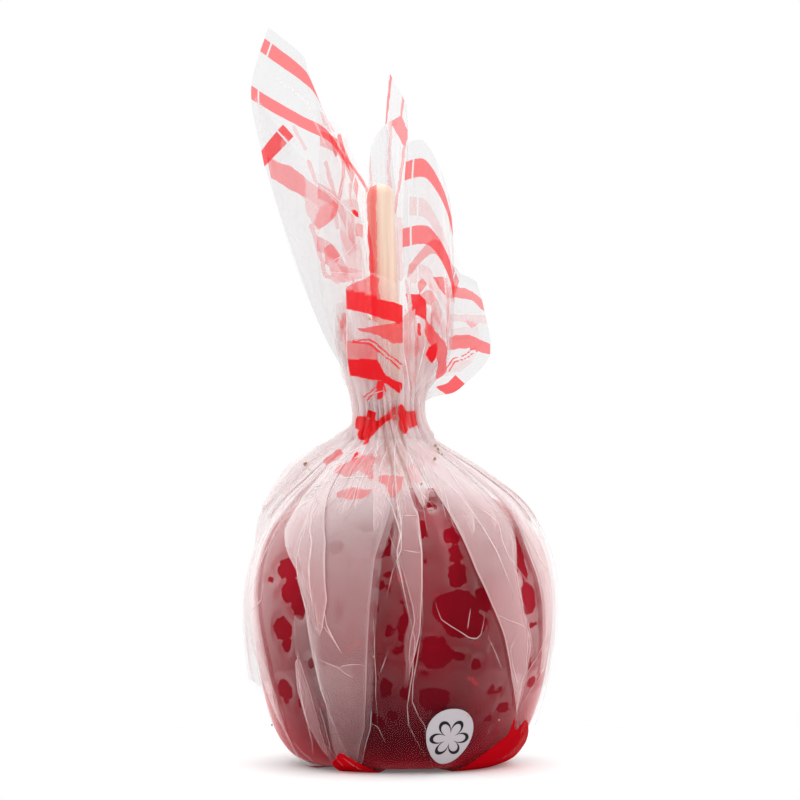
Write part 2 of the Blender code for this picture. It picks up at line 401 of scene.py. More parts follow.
def coat_waves(angle, height):
    """Ribs, slow runs and an uneven foot, as height above the plain outline."""
    rim = np.stack([np.cos(angle) * 30, np.sin(angle) * 30, height * 0.45], axis=1)
    ran = RUN_DEPTH * grain(rim, RUN_SIZE) * ease(4.0, 14.0, height)
    foot = FOOT_DEPTH * grain(rim * (1, 1, 0), FOOT_SIZE, 5.0) * (1 - ease(1.0, 7.0, height))
    return lobes(angle, height) + ran + foot


def lean_x(height):
    """How far the stick's axis lies from the apple's own axis at this height."""
    return -math.tan(STICK_LEAN) * (np.asarray(height, float) - LEAN_HEIGHT)


def toffee_bend(s, t):
    """Turns the outline round the axis, from the middle of the foot to the middle of the crown."""
    side = even_line(APPLE_OUTLINE, COAT_ROWS + 1 - 2 * END_RINGS)
    foot = np.stack([np.linspace(0, side[0, 0], END_RINGS + 1)[:-1],
                     np.full(END_RINGS, side[0, 1])], axis=1)
    crown = even_line((APPLE_OUTLINE[-1], CROWN), END_RINGS + 1)[1:]
    outline = np.concatenate([foot, side, crown])
    radius, height = outline[np.round(t * COAT_ROWS).astype(int)].T
    angle = s * math.tau
    radius = radius + coat_waves(angle, height) * ease(8.0, 20.0, radius)
    collar = np.exp(-np.maximum(radius - STICK_RADIUS, 0) / COLLAR_REACH) * (height > 40)
    level = height + COLLAR_RISE * collar
    return np.stack([radius * np.cos(angle), radius * np.sin(angle), level], 1), {}


# % Toffee finish
TOFFEE_TONES = ((0.3, (0.13, 0.0008, 0.004, 1)), (0.72, (0.3, 0.003, 0.013, 1)))
# The dark of the thick pooled foot, also laid as painted shade over the lower half of the coat.
POOLED_AND_SHADED_TONE = (0.022, 0.0015, 0.003, 1)
RUBY_TONE = (0.45, 0.003, 0.016, 1)  # flecks where the sugar is clearer
PAINTED_EDGE_GLOW = (0.62, 0.01, 0.03, 1)  # painted edge glow: the coat's colour turns to this brighter red at grazing angles
LOWER_SHADE_HEIGHTS = (0.0, 0.05)  # heights in metres over which the dark tone fades out: painted shade, darker towards the bottom


def toffee_finish():
    g = Graph("red_toffee")
    place = g.add("TexCoord", output="Object")
    height = g.add("SeparateXYZ", {0: place}, output="Z")
    streaks = g.add("Mapping", {0: place, "Scale": (1.0, 1.0, 0.35)})
    ran = g.add("TexNoise", {"Vector": streaks, "Scale": 90.0, "Detail": 3.0})
    # Painted shade: the coat darkens towards the bottom, over far more than the pooled foot.
    shade = g.tone(g.step(height, *LOWER_SHADE_HEIGHTS), POOLED_AND_SHADED_TONE, g.ramp(ran, TOFFEE_TONES))
    flecks = g.add("TexNoise", {"Vector": place, "Scale": 260.0, "Detail": 2.0})
    shade = g.tone(g.math("MULTIPLY", g.step(flecks, 0.66, 0.74), 0.45), shade, RUBY_TONE)
    # Painted highlight: towards grazing angles the base colour is brightened to a glowing red.
    facing = g.add("LayerWeight", {"Blend": 0.5}, output="Facing")
    edge = g.math("MULTIPLY", g.math("POWER", facing, 1.5), 0.9)
    ripple = g.add("TexNoise", {"Vector": place, "Scale": 240.0, "Detail": 2.0})
    return g.finish(g.add("BsdfPrincipled", {
        "Base Color": g.tone(edge, shade, PAINTED_EDGE_GLOW),
        "Roughness": g.add("MapRange", {"Value": ran, "To Min": 0.08, "To Max": 0.2}),
        "Normal": g.add("Bump", {"Strength": 0.12, "Distance": 0.0006, "Height": ripple}),
        "Specular IOR Level": 0.03,
    }))


toffee = show(
    "toffee_coat", bent_grid("toffee_coat", COAT_COLUMNS, COAT_ROWS, toffee_bend),
    toffee_finish(),
)
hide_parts("coated_apple")

# %% [markdown]
# ## The stick
#
# A turned dowel of pale wood with its end rounded over. A cone tool with equal ends makes the
# rod, a bevel rounds its end, and the mesh itself is leaned so that the object stays unturned.

# %% Rod and wood
STICK_SUNK = 26.5  # how low the rod reaches inside the apple
STICK_SIDES = 48
END_ROUND = 2.4
END_STEPS = 8
WOOD_TONES = ((0.36, (0.78, 0.56, 0.42, 1)), (0.62, (0.93, 0.75, 0.62, 1)))


def make_stick():
    """A rod with its upper end rounded over, leaned into place."""
    mesh = bmesh.new()
    length = (stick_top - STICK_SUNK) / math.cos(STICK_LEAN)
    bmesh.ops.create_cone(
        mesh, segments=STICK_SIDES, radius1=STICK_RADIUS * MM, radius2=STICK_RADIUS * MM,
        depth=length * MM, cap_ends=True,
    )
    top = [edge for edge in mesh.edges if all(vertex.co.z > 0 for vertex in edge.verts)]
    bmesh.ops.bevel(
        mesh, geom=top, offset=END_ROUND * MM, offset_type="OFFSET", affect="EDGES",
        segments=END_STEPS, profile=0.5, material=-1,
    )
    middle = (stick_top + STICK_SUNK) / 2
    turn = Matrix.Rotation(-STICK_LEAN, 4, "Y")
    move = Matrix.Translation(Vector((float(lean_x(middle)), 0.0, middle)) * MM)
    bmesh.ops.transform(mesh, matrix=move @ turn, verts=mesh.verts)
    data = bpy.data.meshes.new("stick_rod")
    mesh.to_mesh(data)
    mesh.free()
    return data


def wood_finish():
    g = Graph("pale_wood")
    place = g.add("TexCoord", output="Object")
    along = g.add("Mapping", {0: place, "Rotation": (0.0, STICK_LEAN, 0.0),
                              "Scale": (1.0, 1.0, 0.04)})
    fibre = g.add("TexNoise", {"Vector": along, "Scale": 1500.0, "Detail": 4.0})
    bands = g.add("TexNoise", {"Vector": along, "Scale": 420.0, "Detail": 1.0})
    both = g.math("MULTIPLY_ADD", bands, 0.6, g.math("MULTIPLY", fibre, 0.4))
    return g.finish(g.add("BsdfPrincipled", {
        "Base Color": g.ramp(both, WOOD_TONES),
        "Roughness": g.add("MapRange", {"Value": fibre, "To Min": 0.5, "To Max": 0.72}),
        "Normal": g.add("Bump", {"Strength": 0.25, "Distance": 0.0001, "Height": fibre}),
    }))


rod = show("stick_rod", make_stick(), wood_finish(), sharp=40)
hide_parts("stick")

# %% [markdown]
# ## The film bag: folds as a path
#
# A flat bag is far wider than the apple, so its spare width has to lie in folds. Going round at
# one height, the film runs on, turns back at a crease, turns forward again at a second crease
# and runs on, so that three layers lie over each other between the two creases. Each fold is
# written as the azimuths of its two creases at several heights, measured from the front in
# degrees towards +X. A fold can lie inside the outer layer of another one.

# %% The bag's outline
BAG_OUTLINE = (
    (22.6, 0.0), (26.8, 2.0), (30.0, 6.6), (32.1, 12.0), (34.1, 20.0), (35.5, 29.0),
    (35.9, 37.0), (35.2, 44.6), (33.2, 51.6), (30.2, 57.2), (26.3, 61.9), (21.0, 66.3),
    (15.2, 70.8), (9.8, 75.4), (7.7, 79.0), (7.4, 82.5), (8.6, 87.0), (10.3, 93.0),
    (11.2, 102.0),
)
BAG_ROWS = 137
BODY_CROWDING = 1.9  # how much closer the rows lie below the shoulder
SHOULDER_HEIGHT = 60.0
FOOT_ROWS = 6
LAYER_GAP = 0.34
CREASE_ROUND = 0.3  # degrees that a crease bulges past its place
CUP_FLATNESS = 0.68

bag_side = even_line(BAG_OUTLINE, 1200)
row_share = np.cumsum(np.where(bag_side[:, 1] < SHOULDER_HEIGHT, BODY_CROWDING, 1.0))
row_share = np.interp(np.linspace(row_share[0], row_share[-1], BAG_ROWS + 1 - FOOT_ROWS),
                      row_share, np.arange(len(bag_side)))
bag_side = np.stack([np.interp(row_share, np.arange(len(bag_side)), line) for line in bag_side.T], 1)
bag_foot = np.stack([np.linspace(0.0, bag_side[0, 0], FOOT_ROWS + 1)[:-1], np.zeros(FOOT_ROWS)], 1)
bag_line = np.concatenate([bag_foot, bag_side])
row_radius, row_height = bag_line.T
row_run = np.r_[0, np.cumsum(np.linalg.norm(np.diff(bag_line, axis=0), axis=1))]
print(f"the film runs {row_run[-1]:.0f} mm from the middle of the foot to the cup's rim")

# %% The folds that were measured
# Each fold: left crease, right crease, True when its free edge is on the right.
FRONT_FOLDS = (
    {
        "left": ((10, -57.5), (30, -69.4), (44, -74.2), (57, -72.5), (74, -64.4)),
        "right": ((10, -56.5), (25, -59.5), (40, -65.3), (54, -66.2), (65, -60.1), (77, -60.3)),
        "turned": False,
    },
    {
        "left": ((4, -35.5), (11, -39.8), (19, -41.9), (27.7, -41.0)),
        "right": ((4, -34.6), (11, -35.0), (19, -37.1), (27.7, -40.9)),
        "turned": False,
    },
    {
        "left": ((1.2, -22.5), (9.4, -26.4), (19.2, -31.3), (27, -33.3), (36.6, -35.3),
                 (45.2, -39.8), (50.8, -48.9), (54.6, -53.4), (65.3, -54.6), (74, -56), (84, -60)),
        "right": ((1.2, -22.1), (10.6, -15.2), (19.5, -13.5), (32, -12.1), (45.6, -10.5),
                  (48.9, -10), (59.8, -4.8), (69.3, -7.4), (79, -19.6)),
        "turned": False,
        "inner": {
            "left": ((30.9, -29.6), (37.3, -31.1), (43.8, -36.4), (49.5, -41.3), (56.7, -41.2),
                     (65.3, -45.4), (77, -48)),
            "right": ((30.9, -29.2), (39.3, -26.8), (52.1, -29.8), (61.2, -36.1), (65.4, -38.9),
                      (77, -42)),
            "turned": True,
        },
    },
    {
        "left": ((18.6, 1.9), (30.3, 3.5), (35.1, 5), (38.4, 4.2), (44.2, 1.8), (49.8, -1.2),
                 (54.6, -0.4), (58.8, -1.4), (63, -1.1), (74, -1.8), (84, -8)),
        "right": ((18.6, 2.2), (26.4, 4.3), (32.7, 6.4), (41.3, 7.1), (51.3, 7.6), (58.8, 7.1),
                  (60.2, 5.5), (67.4, 4), (74, 3), (84, -3)),
        "turned": True,
    },
    {
        "left": ((13.6, 53.3), (21.2, 46.5), (31.3, 39.9), (38.6, 33.7), (45.9, 28.2),
                 (53.6, 24.2), (62.2, 19), (71.2, 16.5), (79, 19.6)),
        "right": ((13.5, 53.6), (28.3, 54.6), (35.9, 49.1), (45.6, 46.5), (51.8, 50.2),
                  (57.6, 50), (67.3, 45.8), (79, 44)),
        "turned": False,
    },
    {
        "left": ((19.8, 68), (40.3, 63.4), (44.3, 61.5), (49.2, 58.8), (55, 58.2), (69, 56.5)),
        "right": ((19.8, 68.4), (39.5, 71), (49.5, 68.7), (59.3, 67.1), (74, 66)),
        "turned": True,
    },
)

# %% Folds round the back, drawn by lot
BACK_FOLDS = 6
BACK_FROM = 104.0
BACK_TO = 256.0


def drawn_fold(middle, rng):
    """A pleat that is closed near the foot and opens towards the shoulder."""
    closed = rng.uniform(12, 34)
    wide = rng.uniform(5.0, 10.0)
    lean = rng.uniform(-7, 7)
    left = [(closed, middle)]
    right = [(closed, middle + 0.4)]
    for part in (0.35, 0.7, 1.0):
        height = closed + (66 - closed) * part
        place = middle + lean * part + rng.uniform(-1.5, 1.5)
        left.append((height, place - wide * part * rng.uniform(0.4, 0.7)))
        right.append((height, place + wide * part * rng.uniform(0.4, 0.7)))
    return {"left": tuple(left), "right": tuple(right), "turned": bool(rng.integers(2))}


rng = np.random.default_rng(7)
back_folds = [
    drawn_fold(BACK_FROM + (BACK_TO - BACK_FROM) * (k + 0.5) / BACK_FOLDS, rng)
    for k in range(BACK_FOLDS)
]
folds = [*FRONT_FOLDS, *back_folds]

# %% [markdown]
# ## From folds to columns
#
# The bag's grid has the same number of columns at every height. A list of stops says where each
# fold's creases are, row by row, and which layer the film is in there; the columns between two
# stops are spread so that they crowd at the creases. Where a fold is closed, its columns lie
# side by side, so no face is ever without width. Between the drawn folds there are short
# gathers, which only open above the shoulder, where the bag has to shrink to the stick.

# %% Stops along one row
CLOSED_STEP = 0.3
SETTLE = 3.0


def fold_stops(fold, heights, base, columns, step=CLOSED_STEP):
    """The stops of one fold: places, layers, columns before each, and 1 where it is a crease."""
    left, right = read_off(fold["left"], heights), read_off(fold["right"], heights)
    width = right - left
    opened = ease(0.4, 1.6, width)
    past = CREASE_ROUND * opened
    settle = np.minimum(SETTLE, 0.5 + width)
    inner = fold.get("inner")
    if not fold["turned"]:
        way = [(right, 0, 1, 0), (right + past, 0.5, 1, 1), (right, 1, 1, 0.5),
               (left, 1, columns, 0.5), (left - past, 1.5, 1, 1), (left, 2, 1, 0.5)]
        tail = [(right, 2, columns, 0), (right + settle, 0, min(columns, 3), 0)]
    else:
        way = [(left - settle, 0, 1, 0), (left, 2, min(columns, 3), 0)]
        tail = [(right, 2, columns, 0.5), (right + past, 1.5, 1, 1), (right, 1, 1, 0.5),
                (left, 1, columns, 0.5), (left - past, 0.5, 1, 1), (left, 0, 1, 0),
                (right, 0, columns, 0)]
    stops = [(place, base + layer * opened, count, crease * opened)
             for place, layer, count, crease in way]
    if inner:
        stops += fold_stops(inner, heights, base + 2 * opened, columns - 2, CLOSED_STEP / 3)
    stops += [(place, base + layer * opened, count, crease * opened)
              for place, layer, count, crease in tail]
    middle = (left + right) / 2
    flat = [middle + step * (k - (len(stops) - 1) / 2) for k in range(len(stops))]
    return [(flat[k] + (place - flat[k]) * opened, layer, count, crease)
            for k, (place, layer, count, crease) in enumerate(stops)]


GATHER_SPACING = 10.5
GATHER_OPENS = 68.0
FRONT_REACH = 72.0  # degrees to each side of the front that get the finest columns
PLAIN_COLUMN = 1.1


def gather_between(start, end, heights, rng):
    """Short folds that share out the free width between two drawn folds."""
    free = end - start
    shoulder = np.interp(70.0, heights, free)
    count = int(shoulder // GATHER_SPACING)
    gathers = []
    for k in range(count):
        share = (k + 0.5 + rng.uniform(-0.16, 0.16)) / count
        closed = rng.uniform(50, 61)
        part = rng.uniform(0.42, 0.62) * ease(closed, GATHER_OPENS + rng.uniform(-3, 4), heights)
        part = part * (1 - 0.35 * ease(84, 92, heights))
        middle = start + free * share
        wide = free / count * part
        drift = free / count * 0.12 * np.sin(heights / 5 + k)
        gathers.append({
            "left": tuple(zip(heights, middle - wide / 2 + drift)),
            "right": tuple(zip(heights, middle + wide / 2 + drift)),
            "turned": bool(rng.integers(2)),
        })
    return gathers


def fold_path(heights):
    """Azimuth, layer and crease of every column at every row."""
    drawn = sorted(
        [{"fold": f, "shift": -360.0 if np.mean([p for z, p in f["left"]]) > 180 else 0.0}
         for f in folds],
        key=lambda item: np.mean([p for z, p in item["fold"]["left"]]) + item["shift"],
    )
    groups = []
    for item in drawn:
        moved = dict(item["fold"])
        moved["left"] = tuple((z, p + item["shift"]) for z, p in moved["left"])
        moved["right"] = tuple((z, p + item["shift"]) for z, p in moved["right"])
        around = abs(float(np.mean([p for z, p in moved["left"]])))
        groups.append(fold_stops(moved, heights, 0.0, 7 if around < FRONT_REACH else 4))
    stops = [(np.full(heights.shape, -180.0), 0.0, 0, 0.0)]
    rng = np.random.default_rng(11)
    closing = [(np.full(heights.shape, 180.0), 0.0, 3, 0.0)]
    for group in groups + [closing]:
        start, end = stops[-1][0], group[0][0]
        gathers = gather_between(start, end, heights, rng)
        for part in [fold_stops(gather, heights, 0.0, 2) for gather in gathers] + [group]:
            place, layer, count, crease = part[0]
            wide = float(np.interp(35.0, heights, place - stops[-1][0]))
            around = abs(float(np.interp(35.0, heights, place))) - wide / 2
            spacing = PLAIN_COLUMN if around < FRONT_REACH else 2.4 * PLAIN_COLUMN
            stops.append((place, layer, max(count, round(wide / spacing)), crease))
            stops += part[1:]
    places, layers, creases = [stops[0][0]], [np.zeros(heights.shape)], [np.zeros(heights.shape)]
    for before, after in zip(stops, stops[1:]):
        count = after[2]
        for step in range(1, count + 1):
            even = step / count
            crowded = (1 - math.cos(math.pi * even)) / 2
            share = crowded if 2 < count < 9 else even
            places.append(before[0] + (after[0] - before[0]) * share)
            layers.append(before[1] + (after[1] - before[1]) * crowded)
            creases.append(np.broadcast_to(after[3] if step == count else 0.0, heights.shape))
    return np.stack(places, 1), np.stack(layers, 1), np.stack(creases, 1)


row_place, row_layer, row_crease = fold_path(row_height)
bag_columns = row_place.shape[1] - 1
print(f"{bag_columns} columns by {BAG_ROWS} rows carry {len(folds)} drawn folds and their gathers")

# %% [markdown]
# ## Where the film clings
#
# Where the film touches the sticky toffee there is no air behind it and so no mirror: the toffee
# shows dark and clear, in drops and smears with sharp edges. Each is an ellipse given by azimuth,
# height, half its width, half its height and its tilt. The mesh carries how far inside or
# outside a cling each point is, in mm, and the film's finish cuts a crisp, ragged edge from that.

# %% Clings
FRONT_CLINGS = (
    (20.6, 53.5, 1.9, 2.0, 0), (21.0, 49.3, 1.6, 2.9, 0), (21.2, 44.8, 2.1, 3.2, 0),
    (21.5, 36.4, 5.2, 5.2, 0), (15.5, 38.1, 3.0, 3.1, 0), (27.2, 33.9, 3.1, 3.0, 0),
    (31.3, 39.6, 2.1, 2.9, 0), (-46.6, 46.0, 4.3, 2.2, 0), (-55.1, 43.3, 1.5, 0.6, 0),
    (-43.4, 41.3, 3.0, 2.8, 0), (-39.7, 37.7, 2.1, 2.5, 0), (-48.2, 32.4, 3.0, 3.0, 0),
    (-46.8, 29.5, 1.5, 2.1, 0), (-50.7, 18.4, 2.7, 2.5, -10), (-42.4, 16.7, 0.9, 2.0, -25),
    (13.3, 27.6, 3.5, 3.4, 0), (21.6, 27.0, 1.6, 1.0, 0), (10.8, 30.5, 2.0, 1.1, 0),
    (28.9, 25.1, 1.1, 1.2, -30), (36.9, 18.8, 1.0, 1.1, 0), (8.5, 23.4, 1.3, 0.7, 0),
    (5.5, 25.0, 0.6, 2.0, 0), (12.8, 17.6, 3.9, 2.8, 0), (9.4, 54.8, 1.1, 2.0, 0),
    (9.4, 47.8, 1.2, 0.6, 0), (13.4, 60.4, 1.2, 0.7, 0), (5.0, 40.1, 0.8, 0.9, 0),
    (52.0, 49.3, 2.8, 4.1, -12), (55.0, 38.8, 3.3, 3.6, 0), (67.9, 43.1, 1.9, 1.5, -20),
    (54.0, 45.4, 1.4, 3.4, 0), (1.1, 34.1, 1.2, 4.6, 0), (0.4, 46.5, 0.8, 2.3, 0),
    (-6.0, 47.5, 0.7, 2.8, 20), (-7.0, 42.6, 0.6, 0.8, 0), (-2.0, 28.4, 1.3, 1.0, 0),
    (-5.3, 19.9, 1.7, 1.8, 0), (-16.1, 23.0, 1.7, 2.1, 0), (-26.2, 51.1, 2.1, 1.8, 0),
    (-14.3, 55.1, 1.2, 0.6, 0), (-22.8, 36.4, 1.1, 2.4, 0), (36.2, 50.3, 2.1, 2.0, 0),
    (35.0, 43.8, 1.9, 1.5, 0), (27.0, 58.2, 2.0, 1.5, 0), (-60.4, 16.7, 1.4, 1.4, 0),
    (-68.5, 27.3, 1.0, 1.4, 0), (-65.8, 41.4, 1.2, 1.0, 0), (-49.9, 40.1, 0.4, 0.3, 0),
    (-35.5, 25.2, 0.9, 1.1, 0), (58.1, 33.1, 1.6, 0.5, 0), (62.2, 20.1, 2.4, 1.3, 0),
    (59.1, 23.5, 0.9, 1.6, 0), (72.6, 28.9, 1.8, 1.4, 0), (37.5, 12.4, 1.5, 0.7, 20),
    (45.3, 14.8, 2.0, 1.3, 0), (-9.9, 12.8, 1.7, 1.1, -30), (1.4, 18.9, 1.0, 1.9, 0),
    (-2.6, 13.8, 1.2, 1.2, 0), (-0.4, 38.0, 0.5, 1.9, 0), (-9.7, 31.7, 0.5, 2.4, 0),
    (-14.5, 18.1, 1.0, 1.4, 0), (41.7, 18.9, 0.5, 0.5, 0), (41.6, 9.5, 0.4, 0.4, 0),
    (-20.1, 47.9, 0.5, 0.5, 0), (35.4, 28.4, 0.35, 0.3, 0), (-27.0, 28.6, 0.35, 0.3, 0),
    (-10.2, 51.0, 1.0, 2.6, 12), (-9.0, 44.6, 0.9, 2.3, 0), (-9.8, 37.5, 0.9, 2.4, -8),
    (-4.4, 51.6, 0.8, 2.0, -10), (-4.6, 41.5, 0.7, 1.8, 15), (-4.0, 33.0, 0.7, 1.6, 0),
)
CLINGS_BEHIND = 70
CLING_SIZES = (0.5, 3.6)  # the smallest, and how much larger a few are
CLING_SHAPES = (0.6, 1.5)  # from upright to lying
CLING_HEIGHTS = (11, 56)
CLING_TILT = 40


def drawn_clings(rng):
    """Clings on the sides and the back: a few large, many small."""
    found = []
    for _ in range(CLINGS_BEHIND):
        size = CLING_SIZES[0] + CLING_SIZES[1] * rng.random() ** 2.4
        shape = rng.uniform(*CLING_SHAPES)
        place = rng.uniform(-156, 156)
        place = 180 + place / 2 if abs(place) < 150 else place / 2
        place = place - 360 if place > 180 else place
        height = rng.uniform(*CLING_HEIGHTS)
        found.append((place, height, size * shape, size / shape, rng.uniform(-CLING_TILT, CLING_TILT)))
    return found


def cling_field(place, height, radius, clings):
    """How far inside a cling each point is, in mm; negative outside."""
    field = np.full(place.shape, -9.0)
    for middle, level, half_wide, half_high, tilt in clings:
        apart = (place - middle + 180) % 360 - 180
        u = np.radians(apart) * radius
        v = height - level
        turn = math.radians(tilt)
        along, across = u * math.cos(turn) + v * math.sin(turn), v * math.cos(turn) - u * math.sin(turn)
        reach = np.hypot(along / half_wide, across / half_high)
        field = np.maximum(field, (1 - reach) * min(half_wide, half_high))
    return field


# %% [markdown]
# ## Print on the bag
#
# The bag is printed with plain red bands near its mouth, a red wave round its base and a white
# patch. The bands follow the distance from the mouth, the wave follows a crest line, and the
# patch gets its own flat coordinates, centred on it. The patch carries a simple flower.

# %% Print fields
INK_COVER = 0.72
BAG_PRINT = (
    (0.8, ((-10.3, 80.1), (-8.3, 79.4), (-7.0, 79.0), (-6.2, 77.2), (-7.6, 76.2), (-10.6, 77.2))),
    (0.97, ((-7.9, 81.9), (-6.3, 81.2), (-5.1, 80.6), (-5.8, 79.4), (-5.0, 78.2), (-6.0, 77.0),
            (-5.8, 75.6), (-7.0, 77.4), (-7.2, 79.8))),
    (0.9, ((-9.8, 76.2), (-9.0, 76.8), (-5.0, 78.9), (-2.6, 81.0), (-1.0, 82.2), (-0.6, 81.2),
           (-2.2, 79.0), (-5.6, 76.5), (-8.4, 74.4), (-9.4, 74.8))),
    (0.5, ((-2.6, 81.6), (-0.9, 80.4), (-1.6, 78.6), (-3.4, 80.2))),
    (0.85, ((-0.4, 82.9), (1.0, 82.5), (1.3, 78.6), (1.3, 75.7), (0.0, 76.4), (-0.7, 77.6))),
    (0.66, ((1.5, 81.3), (3.4, 81.6), (3.9, 77.9), (1.9, 77.0), (1.3, 78.6))),
    (0.35, ((-15.4, 67.4), (-8.3, 71.4), (-7.1, 70.5), (-12.7, 66.8))),
    (0.3, ((-8.3, 67.4), (-6.5, 71.1), (-5.8, 70.8), (-6.5, 65.5))),
    (0.9, ((-10.8, 72.3), (-9.6, 72.6), (-9.7, 71.1), (-11.1, 70.5))),
    (0.8, ((-8.2, 75.6), (-7.0, 74.8), (-7.6, 72.8), (-8.6, 73.6))),
    (0.4, ((-17.9, 70.2), (-14.5, 72.9), (-12.6, 71.9), (-17.3, 68.8))),
    (0.2, ((-8.0, 70.8), (-7.1, 72.0), (-5.8, 70.8), (-7.1, 67.4), (-8.9, 67.1))),
    (0.22, ((-15.4, 67.4), (-10.8, 69.2), (-8.3, 68.0), (-12.6, 66.4))),
    (0.3, ((-5.8, 66.8), (0.7, 66.5), (0.1, 63.8), (-1.7, 61.5), (-3.1, 63.2))),
    (0.25, ((-15.2, 62.6), (-11.1, 64.1), (-8.1, 63.5), (-5.2, 64.1), (-8.7, 61.5), (-13.4, 61.8))),
    (0.1, ((0.7, 68.0), (3.0, 69.2), (5.4, 67.4), (4.6, 65.0), (1.6, 65.2))),
)
WAVE = (
    (-180, 3.0), (-165, 8.5), (-150, 10.5), (-135, 6.0), (-120, -1.0), (-95, -2.0), (-80, -1.0),
    (-66, 0.6), (-50, -1.0), (-40, -1.0), (-34, 2.6), (-27, 5.0), (-23, 3.6), (-14.5, 0.8),
    (-8, -2.0), (28, -1.6), (37, 2.6), (45, 5.8), (52.5, 8.4), (54, 12.4), (57, 8.6), (64, 11.6),
    (78, 6.2), (90, 3.0), (104, -1.0), (120, -1.0), (134, 5.0), (150, 9.5),
    (164, 6.0), (180, 3.0),
)
PATCH_PLACE = 20.7
PATCH_HEIGHT = 8.4
CUP_RIM = BAG_OUTLINE[-1][1]
BAND_PERIOD = 15.7  # the bands' pitch on the bag behind, and where the first one starts
BAND_START = 2.4
BAND_FROM = 97.0  # the mouth's bands show on the bag itself only behind this azimuth


def inside_by(x, z, corners):
    """How far inside an outline each point lies, in mm; negative outside."""
    within = np.zeros(x.shape, bool)
    for (x0, z0), (x1, z1) in zip(corners, corners[1:] + corners[:1]):
        if z0 != z1:
            between = (z0 > z) != (z1 > z)
            within ^= between & (x < (x1 - x0) * (z - z0) / (z1 - z0) + x0)
    away = line_distance(x, z, corners + corners[:1])
    return np.where(within, away, -away)


def line_distance(x, z, points):
    """Distance from a line through points, in mm."""
    away = np.full(x.shape, 99.0)
    for (x0, z0), (x1, z1) in zip(points, points[1:]):
        length = (x1 - x0) ** 2 + (z1 - z0) ** 2
        part = np.clip(((x - x0) * (x1 - x0) + (z - z0) * (z1 - z0)) / length, 0, 1)
        away = np.minimum(away, np.hypot(x - x0 - part * (x1 - x0), z - z0 - part * (z1 - z0)))
    return away


def print_field(x, z, shapes, lines=(), cover=0.0, bent=0.3):
    """How far inside the print each point lies, in mm, and how strong the print is there."""
    flat = np.stack([x, np.zeros(x.shape), z], axis=1)
    x = x + bent * (grain(flat, 3.5, 2.0) + 0.6 * grain(flat, 1.3, 4.0))
    z = z + bent * (grain(flat, 3.5, 7.0) + 0.6 * grain(flat, 1.3, 9.0))
    field = np.full(x.shape, -9.0)
    cover = np.full(x.shape, cover)
    parts = [(strength, inside_by(x, z, corners)) for strength, corners in shapes]
    parts += [(strength, half - line_distance(x, z, points)) for strength, half, points in lines]
    for strength, inside in parts:
        cover = np.where(inside > np.minimum(field, -0.1), strength, cover)
        field = np.maximum(field, inside)
    return field, cover


def wave_crest(place):
    """Height of the printed wave's crest."""
    stops, crests = zip(*WAVE)
    return np.interp((place + 180) % 360 - 180, stops, crests)


# %% Side edges and what touches
FIN_HALF_WIDTH = 11.0  # degrees
LEFT_FIN = (
    (17, 0.0), (19, 1.9), (34, 1.3), (50, 0.5), (57, 2.6), (63, 4.6), (69, 7.0), (73, 6.0), (78, 0.0),
)
RIGHT_FIN = ((10, 0.0), (22, 0.5), (37, 0.4), (60, 0.4), (72, 0.0))
SIDE_STEPS = 400  # stops along the toffee's outline
SIDE_BELOW_CROWN = 340  # how many of them lie below the crown's turn
# How much of its mirror and haze the film loses, by height and by azimuth. Up to about 58 mm
# that is because it lies close to the toffee. Above, the values are set for the look.
WET = ((0, 0.84), (8, 0.8), (20, 0.56), (34, 0.43), (48, 0.3), (58, 0.26), (64, 0.18), (70, 0.0))
WET_PLACES = ((-180, 0.4), (-60, 0.68), (-28, 0.7), (-8, 1.0), (36, 1.0), (56, 0.55), (180, 0.4))
# How milky the folded film is, by azimuth: its own haze, raised as a painted reflection of the light, most
# on the right.
MILK_AND_PAINTED_VEIL = ((-180, 0.12), (-70, 0.12), (-20, 0.16), (4, 0.13), (18, 0.24), (60, 0.22), (180, 0.12))


def side_fins(place, height):
    """The welded side edges stand off the bag as low ridges."""
    left = np.abs((place + 90 + 180) % 360 - 180)
    right = np.abs((place - 90 + 180) % 360 - 180)
    stands = read_off(LEFT_FIN, height) * np.maximum(0, 1 - left / FIN_HALF_WIDTH)
    return stands + read_off(RIGHT_FIN, height) * np.maximum(0, 1 - right / FIN_HALF_WIDTH)


def coat_radius(angle, height):
    """The toffee's own radius, so that the film never dips into it."""
    radius, level = even_line(APPLE_OUTLINE, SIDE_STEPS)[:SIDE_BELOW_CROWN].T
    return np.interp(height, level, radius) + coat_waves(angle, height)


# %% Crumple and reach
# Crumpled flats: how deep, how large, which seed, and how much flatter than wide they are.
BODY_CRUMPLE = ((0.30, 9.0, 1.0, 1.0), (0.13, 4.2, 4.0, 1.0))
NECK_CRUMPLE = ((1.5, 5.5, 6.0, 2.2), (0.8, 2.4, 2.0, 2.6))
FOOT_CRUMPLE = 0.12
RIPPLES = 44
RIPPLE_DRIFT = 2.2
RIPPLE_HEIGHTS = ((0, 0.0), (52, 0.02), (60, 0.1), (66, 0.2), (72, 0.4), (82, 0.8), (90, 0.7), (102, 0.4))
NECK_SQUEEZE = 1.4
FILM_INSIDE = 0.25  # the film starts this far inside the bag's outline
FILM_CLEAR = 0.12
FILM_NEAREST = 0.1
CLING_PRESS = 0.3  # how far the film is drawn on to the toffee at a cling


